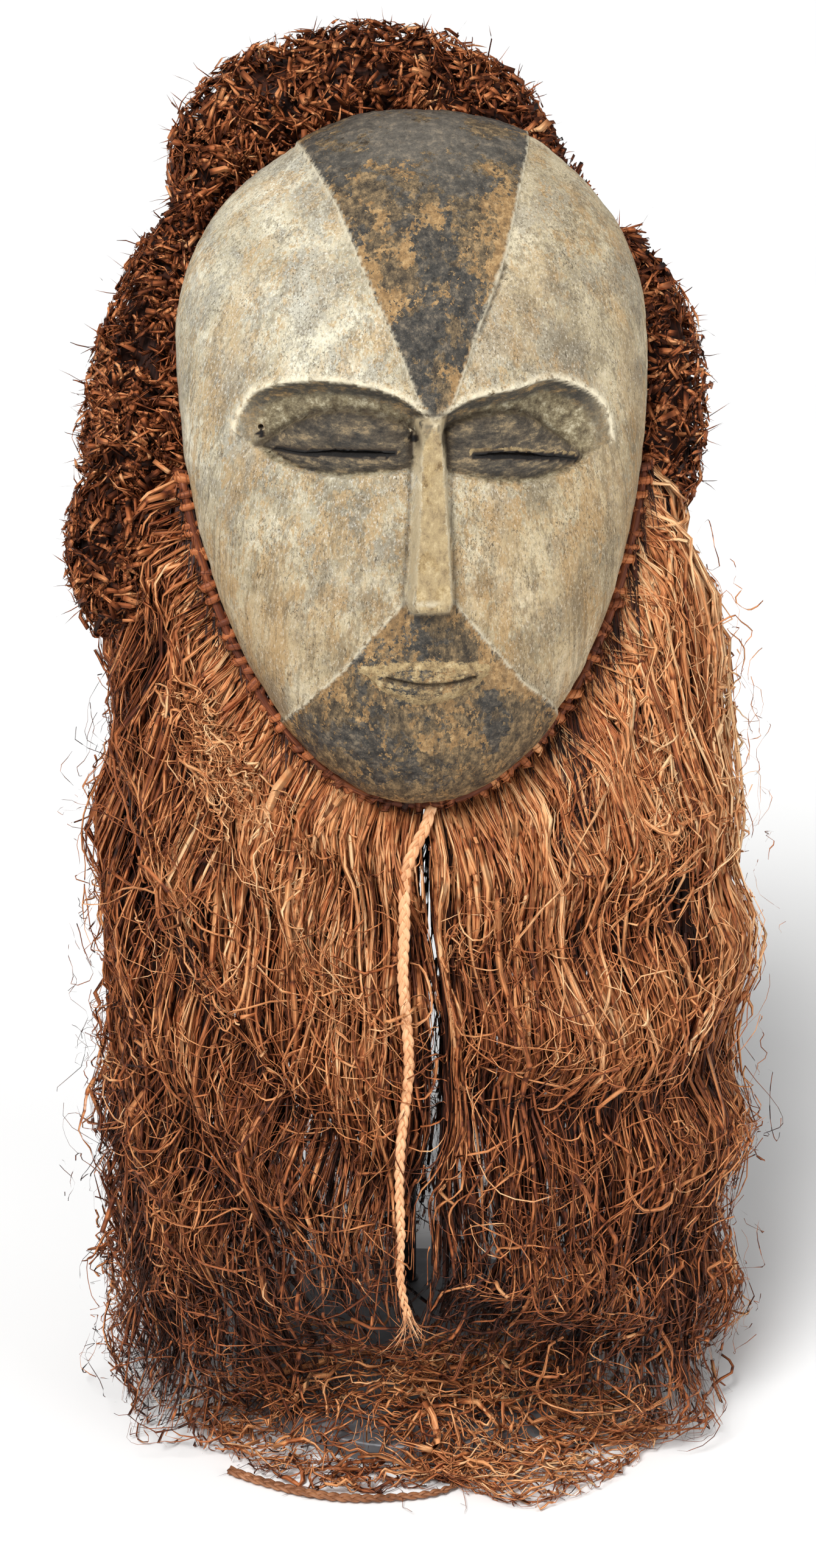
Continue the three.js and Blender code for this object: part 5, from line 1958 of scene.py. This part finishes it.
@dataclass(frozen=True)
class PaintedWood:
    """Worn kaolin and soot-dark paint on carved wood, bare wood behind."""

    effects: SharedEffects
    form: FaceForm = FaceForm()
    yellow_top: float = 0.60
    yellow_low: float = 0.49
    dust_low: float = 0.685
    dust_top: float = 0.75

    def make(self) -> bpy.types.Material:
        """The finish as a material."""
        material, graph, shader = new_finish("painted_wood")
        place = graph.place()
        upright = graph.mapped(place, turn=(-self.form.lean, 0, 0))
        grain = self.effects.streak(graph, upright, 420.0, 0.07)
        broad = self.effects.streak(graph, upright, 120.0, 0.16)
        kaolin = self.kaolin(graph, upright, grain, broad)
        dark = self.dark_paint(graph, upright, grain)
        edge_noise = graph.times(graph.minus(graph.noise(upright, 900, 3), 0.5), 1.6)
        paint = graph.rise(graph.plus(graph.attribute("paint"), edge_noise), -0.25, 0.35)
        paint = graph.times(paint, graph.minus(1.0, graph.attribute("nose"), clamp=True))
        colour = graph.mix(paint, kaolin, dark)
        colour = self.details(graph, upright, colour)
        grit = graph.rise(graph.noise(graph.mapped(upright, (1, 1, 0.34)), 980, 5, 0.75), 0.48, 0.34)
        painted = graph.times(graph.rise(graph.attribute("paint"), -0.5, 0.5, 0.15, 1.0), 0.55)
        colour = graph.mix(graph.times(grit, painted), colour, srgb(40, 34, 28))
        wood = self.bare_wood(graph, upright, grain)
        colour = graph.mix(graph.attribute("inside"), colour, wood)
        rough = graph.rise(paint, 0.0, 1.0, 0.82, 0.62)
        rough = graph.minus(rough, graph.times(graph.noise(upright, 300, 4), 0.14))
        fine = graph.noise(upright, 1500, 4, 0.7)
        height = graph.plus(graph.times(grain.outputs["Height"], 0.7), graph.times(fine, 0.6))
        height = graph.plus(height, graph.times(graph.noise(upright, 330, 3), 0.6))
        graph.dress(shader, colour, rough, height, 0.8, 0.0010)
        shader.inputs["Specular IOR Level"].default_value = 0.32
        return material

    def kaolin(self, graph: Graph, upright: Socket, grain: bpy.types.Node, broad: bpy.types.Node) -> Socket:
        """The white clay: cream and grey clouds, rubbed to ochre along the grain, with dark pores."""
        cloud = graph.noise(upright, 22, 6, 0.66)
        base = graph.ramp(cloud, (0.32, (146, 138, 118)), (0.42, (184, 174, 148)), (0.53, (214, 204, 176)),
                          (0.66, (242, 236, 212)))
        grey = self.effects.patch(graph, upright, 30.0, 0.42, 0.07, 0.5)
        base = graph.mix(graph.times(grey, 0.50), base, srgb(150, 147, 138))
        low = graph.rise(graph.axes(upright)["Z"], 0.74, 0.46, 0.40, 0.62)
        shifted = graph.mapped(upright, (1, 1, 0.40), move=(3, 1, 2))
        worn = self.effects.patch(graph, shifted, 44.0, low, 0.04, 0.7)
        worn = graph.times(worn, graph.rise(broad.outputs["Mask"], 0.1, 0.8, 0.35, 1.0))
        base = graph.mix(graph.times(worn, 0.66), base, srgb(192, 158, 106))
        lines = graph.rise(grain.outputs["Mask"], 0.05, 0.50, 1.0, 0.0)
        base = graph.mix(graph.times(lines, 0.50), base, srgb(122, 110, 88))
        drawn = graph.mapped(upright, (1, 1, 0.34))
        grit = graph.noise(drawn, 980, 5, 0.75)
        patchy = graph.rise(graph.noise(upright, 60, 3), 0.36, 0.62, 0.35, 1.0)
        pores = graph.times(graph.rise(grit, 0.50, 0.36), patchy)
        base = graph.mix(graph.times(pores, 0.80), base, srgb(98, 88, 70))
        speck = graph.rise(graph.noise(graph.mapped(upright, move=(2, 2, 2)), 1100, 2, 0.5), 0.62, 0.70)
        base = graph.mix(graph.times(speck, graph.times(patchy, 0.8)), base, srgb(66, 60, 52))
        chalk = graph.rise(graph.noise(graph.mapped(drawn, move=(5, 5, 5)), 1000, 5, 0.75), 0.52, 0.66)
        base = graph.mix(graph.times(chalk, 0.55), base, srgb(250, 248, 238))
        spot = graph.axes(upright)
        # Warmer towards the bottom; darker and warmer towards the right, as painted shade on the side turned
        # from the key light
        tan_and_right_shade = graph.plus(graph.rise(spot["X"], -0.03, 0.08, 0, 0.75),
                         graph.rise(spot["Z"], self.yellow_top, self.yellow_low, 0, 0.9), clamp=True)
        base = graph.mix(tan_and_right_shade, base, srgb(234, 223, 207), "MULTIPLY")
        return graph.mix(graph.times(self.checks(graph, upright), 0.85), base, srgb(72, 62, 48))

    def checks(self, graph: Graph, upright: Socket) -> Socket:
        """Fine dark cracks along the grain, here and there."""
        drawn = graph.noise(graph.mapped(upright, (1, 1, 0.07), move=(4, 4, 4)), 150, 2, 0.5)
        line = graph.rise(graph.math("ABSOLUTE", graph.minus(drawn, 0.5)), 0.007, 0.0)
        return graph.times(line,
                           graph.rise(graph.noise(graph.mapped(upright, move=(8, 1, 3)), 60, 3), 0.52,
                                      0.60))

    def dark_paint(self, graph: Graph, upright: Socket, grain: bpy.types.Node) -> Socket:
        """The dark paint: slate over brown, chipped to ochre wood."""
        slate = graph.ramp(graph.noise(upright, 170, 8, 0.8), (0.39, (38, 37, 35)), (0.47, (62, 60, 56)),
                           (0.54, (88, 82, 73)), (0.62, (132, 118, 98)))
        brown = graph.ramp(graph.noise(graph.mapped(upright, (1, 1, 0.6)), 210, 8, 0.8),
                           (0.39, (52, 44, 35)), (0.47, (92, 78, 58)), (0.54, (126, 106, 77)),
                           (0.62, (168, 140, 100)))
        soot = graph.attribute("soot")
        cover = graph.plus(0.62, graph.times(soot, -0.30))
        thin = self.effects.patch(graph, graph.mapped(upright, (1, 1, 0.75)), 38.0, cover, 0.025, 0.50)
        dust = graph.rise(graph.axes(upright)["Z"], self.dust_low, self.dust_top, 0.0, 0.88)
        colour = graph.mix(thin, graph.mix(dust, slate, srgb(186, 174, 156)), brown)
        edge = graph.attribute("edge")
        cover = graph.plus(graph.plus(0.17, graph.times(edge, 0.34)),
                           graph.plus(graph.times(soot, -0.16), graph.times(thin, 0.24)))
        shifted = graph.mapped(upright, (1, 1, 0.62), move=(7, 3, 1))
        chipped = self.effects.patch(graph, shifted, 58.0, cover, 0.012, 0.52)
        bare = graph.times(chipped, graph.rise(graph.attribute("lid"), 0, 1, 1.0, 0.35))
        wood = graph.ramp(graph.noise(upright, 300, 6, 0.7), (0.34, (122, 94, 60)), (0.5, (160, 126, 82)),
                          (0.66, (194, 160, 112)))
        colour = graph.mix(bare, colour, wood)
        lines = graph.rise(grain.outputs["Mask"], 0.0, 0.5, 1.0, 0.0)
        colour = graph.mix(graph.times(lines, 0.32), colour, srgb(48, 42, 36))
        fleck = graph.rise(graph.noise(graph.mapped(upright, move=(1, 2, 9)), 1000, 3, 0.6), 0.60, 0.68)
        return graph.mix(graph.times(fleck, 0.28), colour, srgb(168, 150, 120))

    def details(self, graph: Graph, upright: Socket, colour: Socket) -> Socket:
        """Ochre nose and mouth, sockets with dirt and painted shade, ledges whitened as worn edges and
        painted highlight, grime and painted shade.
        """
        ochre = graph.ramp(graph.noise(graph.mapped(upright, (1, 1, 0.5)), 200, 8, 0.8),
                           (0.38, (110, 88, 58)), (0.46, (158, 134, 94)), (0.54, (178, 154, 110)),
                           (0.62, (206, 184, 142)))
        flaky = graph.noise(graph.mapped(upright, (1, 1, 1.6), move=(2, 6, 2)), 330, 6, 0.75)
        rubbed = graph.plus(graph.attribute("ochre"), graph.rise(flaky, 0.3, 0.7, -0.75, 0.35, False))
        rubbed = graph.rise(rubbed, 0.28, 0.52)
        colour = graph.mix(rubbed, colour, ochre)
        lid_grain = graph.noise(graph.mapped(upright, (0.36, 0.36, 1)), 260, 7, 0.78)
        lid = graph.ramp(lid_grain, (0.39, (36, 34, 31)), (0.47, (66, 60, 52)), (0.54, (96, 86, 70)),
                         (0.62, (152, 132, 100)))
        lid_share = graph.times(graph.attribute("lid"), graph.minus(1.0, rubbed, clamp=True))
        colour = graph.mix(graph.times(lid_share, 0.9), colour, lid)
        # The sockets: dirt and painted shade in the recess under the brows
        dirt_and_shade = graph.ramp(graph.noise(upright, 210, 8, 0.8), (0.38, (66, 56, 40)), (0.46, (108, 96, 72)),
                          (0.54, (144, 132, 102)), (0.62, (196, 186, 158)))
        colour = graph.mix(graph.times(graph.attribute("socket"), 0.92), colour, dirt_and_shade)
        band = graph.ramp(graph.noise(graph.mapped(upright, (0.5, 0.5, 1)), 200, 8, 0.8),
                          (0.39, (44, 42, 40)), (0.49, (72, 68, 62)), (0.56, (118, 98, 70)),
                          (0.63, (172, 140, 96)))
        colour = graph.mix(graph.times(graph.attribute("band"), 0.9), colour, band)
        # Chalk-white ledges: worn edges, and a painted highlight along them
        ledge = graph.times(graph.attribute("ledge"), graph.rise(graph.noise(upright, 260, 3), 0.36, 0.52))
        colour = graph.mix(graph.times(ledge, 0.9), colour, srgb(248, 236, 206))
        walls = graph.times(graph.attribute("nose"), graph.rise(graph.noise(upright, 120, 3), 0.34, 0.50))
        colour = graph.mix(graph.times(walls, 0.8), colour, srgb(186, 168, 134))
        # Grime, and painted shade in the creases, round the nose foot and on the plates' inner edges;
        # near-black painted shade on the cut walls
        grime_and_shade = graph.attribute("grime_and_shade")
        colour = graph.mix(graph.times(grime_and_shade, 0.85), colour, srgb(54, 42, 30))
        return graph.mix(graph.rise(grime_and_shade, 1.0, 1.8), colour, srgb(14, 11, 9))

    def bare_wood(self, graph: Graph, upright: Socket, grain: bpy.types.Node) -> Socket:
        """The unpainted back, darkened by handling."""
        base = graph.ramp(graph.noise(upright, 30, 5), (0.3, (112, 80, 50)), (0.55, (148, 112, 72)),
                          (0.75, (176, 140, 96)))
        lines = graph.rise(grain.outputs["Mask"], 0.0, 0.6, 1.0, 0.0)
        return graph.mix(graph.times(lines, 0.5), base, srgb(78, 54, 34))


@dataclass(frozen=True)
class RaffiaFinish:
    """Dyed raffia fibre: its colour comes from each fibre's tone, with streaks along its length."""

    name: str
    effects: SharedEffects
    stops: tuple[tuple[float, Triple], ...]
    roughness: float = 0.62
    streak: float = 0.35
    gloss: float = 0.35
    split: float = 0.44
    fray: float = 0.10

    def make(self) -> bpy.types.Material:
        """The finish as a material."""
        material, graph, shader = new_finish(self.name)
        fibre = graph.node("ShaderNodeUVMap", uv_map="fibre").outputs["UV"]
        split = graph.axes(fibre)
        turned = graph.node("ShaderNodeCombineXYZ", {"X": split["X"], "Y": 0.0, "Z": split["Y"]}).outputs[0]
        place = graph.place()
        blotch = graph.noise(place, 55, 3)
        lines = self.effects.streak(graph, turned, 1500.0, 0.03)
        threads = graph.noise(graph.mapped(turned, (1, 1, 0.045)), 1150, 2, 0.5)
        worn = graph.rise(graph.attribute("along"), 0.35, 1.0, 0.0, self.fray)
        gap = graph.plus(graph.minus(threads, worn), graph.attribute("solid"))
        tone = graph.plus(graph.attribute("tone"), graph.rise(blotch, 0.3, 0.7, -0.07, 0.07, False))
        tone = graph.plus(tone,
                          graph.rise(lines.outputs["Mask"], 0, 1, -self.streak * 0.3, self.streak * 0.3,
                                     False))
        # Painted shade: each fibre darkens next to the gaps between its threads
        tone = graph.plus(tone, graph.rise(gap, self.split, self.split + 0.09, -0.30, 0.03))
        colour = graph.ramp(tone, *self.stops)
        graph.tree.links.new(graph.rise(gap, self.split - 0.012, self.split + 0.012), shader.inputs["Alpha"])
        rough = graph.rise(lines.outputs["Mask"], 0, 1, self.roughness + 0.1, self.roughness - 0.12, False)
        height = graph.rise(gap, self.split, self.split + 0.2)
        graph.dress(shader, colour, rough, height, 0.5, 0.0003)
        shader.inputs["Specular IOR Level"].default_value = self.gloss
        return material


@dataclass(frozen=True)
class SteelFinish:
    """Painted or bare steel with scuffs and dust."""

    name: str
    effects: SharedEffects
    light: Triple
    dark: Triple
    worn: Triple
    metallic: float
    roughness: float

    def make(self) -> bpy.types.Material:
        """The finish as a material."""
        material, graph, shader = new_finish(self.name)
        place = graph.place()
        colour = graph.ramp(graph.noise(place, 40, 5), (0.35, self.dark), (0.65, self.light))
        scuffs = self.effects.patch(graph, place, 70.0, 0.16, 0.03, 0.6)
        lines = self.effects.streak(graph, graph.mapped(place, turn=(0, math.pi / 2, 0.5)), 700.0, 0.03)
        colour = graph.mix(graph.times(scuffs, 0.5), colour, srgb(*self.worn))
        rough = graph.plus(graph.rise(lines.outputs["Mask"], 0, 1, -0.05, 0.05, False),
                           graph.rise(scuffs, 0, 1, self.roughness, self.roughness + 0.18, False))
        graph.dress(shader, colour, rough, lines.outputs["Height"], 0.2, 0.0002)
        shader.inputs["Metallic"].default_value = self.metallic
        return material


# The studio


@dataclass(frozen=True)
class Studio:
    """The plain pale floor, the soft light and the camera at the photo's viewing angle."""

    camera_place: Triple = (-0.16685, -1.87285, 1.25618)
    aim: Triple = (-0.003, 0.0, 0.37151)
    lens: float = 88.04
    floor_radius: float = 12.0
    floor_drop: float = 0.0002
    sky: float = 0.40
    key: float = 3.2
    key_turn: Triple = (math.radians(38), 0.0, math.radians(-30))
    fill: float = 12.0
    sensor: float = 36.0
    key_angle: float = math.radians(22)
    fill_size: float = 1.4
    fill_place: Triple = (1.6, -1.4, 1.1)
    fill_aim: Triple = (0.0, 0.0, 0.4)

    def aimed(self, obj: bpy.types.Object, place: Triple, aim: Triple) -> None:
        """Puts an object at a place and turns it towards another."""
        obj.location = place
        way = Vector(aim) - Vector(place)
        obj.rotation_euler = way.to_track_quat("-Z", "Y").to_euler()

    def camera(self) -> None:
        """The camera."""
        data = bpy.data.cameras.new("camera")
        data.lens = self.lens
        data.sensor_width = self.sensor
        camera = linked("camera", data)
        self.aimed(camera, self.camera_place, self.aim)
        bpy.context.scene.camera = camera

    def floor(self) -> None:
        """The floor."""
        bm = bmesh.new()
        bmesh.ops.create_circle(bm, cap_ends=True, segments=96, radius=self.floor_radius)
        bmesh.ops.recalc_face_normals(bm, faces=bm.faces)
        floor = publish("floor", bm, False)
        floor.location.z = -self.floor_drop
        material, graph, shader = new_finish("floor")
        place = graph.place()
        cloud = graph.ramp(graph.noise(place, 1.2, 3), (0.3, (236, 236, 236)), (0.7, (244, 244, 243)))
        graph.tree.links.new(cloud, shader.inputs["Base Color"])
        shader.inputs["Roughness"].default_value = 0.8
        shader.inputs["Specular IOR Level"].default_value = 0.1
        floor.data.materials.append(material)

    def lights(self) -> None:
        """A pale surround, a broad soft key from the upper left and a weak fill from the right."""
        world = bpy.data.worlds.new("studio")
        world.use_nodes = True
        back = world.node_tree.nodes["Background"]
        back.inputs["Color"].default_value = (1.0, 1.0, 1.0, 1.0)
        back.inputs["Strength"].default_value = self.sky
        bpy.context.scene.world = world
        sun = bpy.data.lights.new("key", "SUN")
        sun.energy = self.key
        sun.angle = self.key_angle
        key = linked("key", sun)
        key.rotation_euler = self.key_turn
        panel = bpy.data.lights.new("fill", "AREA")
        panel.energy = self.fill
        panel.size = self.fill_size
        self.aimed(linked("fill", panel), self.fill_place, self.fill_aim)
        bpy.context.scene.view_settings.view_transform = "Standard"

    def build(self) -> None:
        """The whole studio."""
        self.camera()
        self.floor()
        self.lights()


CHIN_ROUTE = ((4, -60, 386), (0, -67, 377), (-7, -73.5, 366), (-11.5, -78.5, 353), (-12.5, -87, 329),
              (-13.9, -95, 305), (-13.1, -100.8, 286), (-12.1, -105, 271), (-12.3, -110, 251),
              (-15.6, -115.3, 228), (-17.6, -119.2, 209), (-18.3, -122.8, 190), (-17.9, -126, 168),
              (-18.5, -128.6, 148), (-17.7, -130.4, 132), (-14.2, -131.9, 116),)
HEM_ROUTE = (
    (-112, -103.5, 3), (-104, -109.5, 3), (-94, -116, 3), (-82, -123, 3), (-68, -129.5, 3), (-54, -134, 3),
    (-40, -136.5, 3), (-26, -137, 3), (-12, -136.5, 3), (-1, -135, 3), (8, -131.5, 3), (13, -126, 3),
)
CROWN = Brush(((-110, 60, 20), (-98, 86, 31), (-84, 107, 38), (-56, 122, 41), (-18, 130, 41), (20, 127, 36),
               (50, 115, 26), (76, 88, 15), (90, 64, 9)))
LEFT_UPPER = Brush(((-106, 82, 12), (-113, 50, 28), (-124, 12, 36), (-133, -27, 40), (-140, -62, 38),
                    (-142, -86, 22)))
LEFT_LOWER = Brush(((-138, -60, 16), (-144, -82, 36), (-148, -106, 38), (-148, -132, 32), (-150, -152, 22)))
RIGHT_ROLL = Brush(((109, 58, 8), (116, 32, 22), (125, 0, 32), (127, -42, 35), (122, -78, 30),
                    (120, -98, 16)))


def main() -> None:
    """Builds the studio, the cords and every piece of the mask."""
    logging.basicConfig(level=logging.INFO, format="%(message)s")
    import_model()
    Studio().build()
    effects = SharedEffects()
    raffia = RaffiaFinish("raffia", effects, (
        (0.0, (36, 15, 7)), (0.25, (104, 50, 26)), (0.5, (180, 104, 58)), (0.75, (228, 158, 102)),
        (1.0, (246, 204, 154)))).make()
    dark_raffia = RaffiaFinish("dark_raffia", effects, (
        (0.0, (32, 12, 5)), (0.3, (96, 47, 24)), (0.55, (170, 96, 55)), (0.8, (220, 146, 94)),
        (1.0, (238, 182, 130))), gloss=0.2).make()
    plait = RaffiaFinish("plait", effects, (
        (0.2, (140, 88, 54)), (0.5, (222, 160, 112)), (0.8, (244, 196, 150))), streak=0.5, split=0.0).make()
    dark_plait = RaffiaFinish("dark_plait", effects, (
        (0.2, (58, 34, 20)), (0.5, (128, 80, 50)), (0.8, (174, 120, 82))), streak=0.5, split=0.0).make()
    black = SteelFinish("black_steel", effects, (38, 37, 37), (22, 21, 21), (86, 80, 74), 0.0, 0.42).make()
    grey = SteelFinish("grey_steel", effects, (134, 135, 138), (104, 105, 108), (160, 158, 154), 0.35,
                       0.5).make()
    Plait("chin_plait", CHIN_ROUTE, 0.285, 0.0063, (0.0, -1.0, 0.25), "limp", 0.0).build(
        plait, Slot.PLAIT, "chin_cord", SEED + 1)
    Plait("hem_plait", HEM_ROUTE, 0.136, 0.0056, (0.0, -0.4, 1.0), "limp", -0.05).build(
        dark_plait, Slot.DARK_PLAIT, "hem_cord", SEED + 2)
    MaskFace().build(PaintedWood(effects).make())
    rolls = (
        Roll("crown_roll", "coiffure_crown", CROWN, 8200, (0.0, -0.1, 0.1)),
        Roll("left_upper_roll", "coiffure_left_upper", LEFT_UPPER, 5200, (-0.1, -0.1, -0.15), 0.02),
        Roll("left_lower_roll", "coiffure_left_lower", LEFT_LOWER, 3200, (-0.1, -0.2, -0.55), -0.02),
        Roll("right_roll", "coiffure_right", RIGHT_ROLL, 4300, (0.1, -0.1, 0.0)),
    )
    for number, roll in enumerate(rolls):
        roll.build(dark_raffia, SEED + 10 + number)
    Knots("rim_knots", -75.0, 75.0, Slot.RAFFIA).build(raffia, "rim_edging", SEED + 20)
    Knots("neck_knots", 75.0, 285.0, Slot.RAFFIA).build(raffia, "neck_edging", SEED + 21)
    cape = Cape()
    for number, hank in enumerate(cape.hanks):
        cape.build(hank, raffia, Slot.RAFFIA, SEED + 30 + number)
    stand = Stand()
    stand.foot(grey)
    stand.post(black)
    stand.arms(black)


if __name__ == "__main__":
    main()
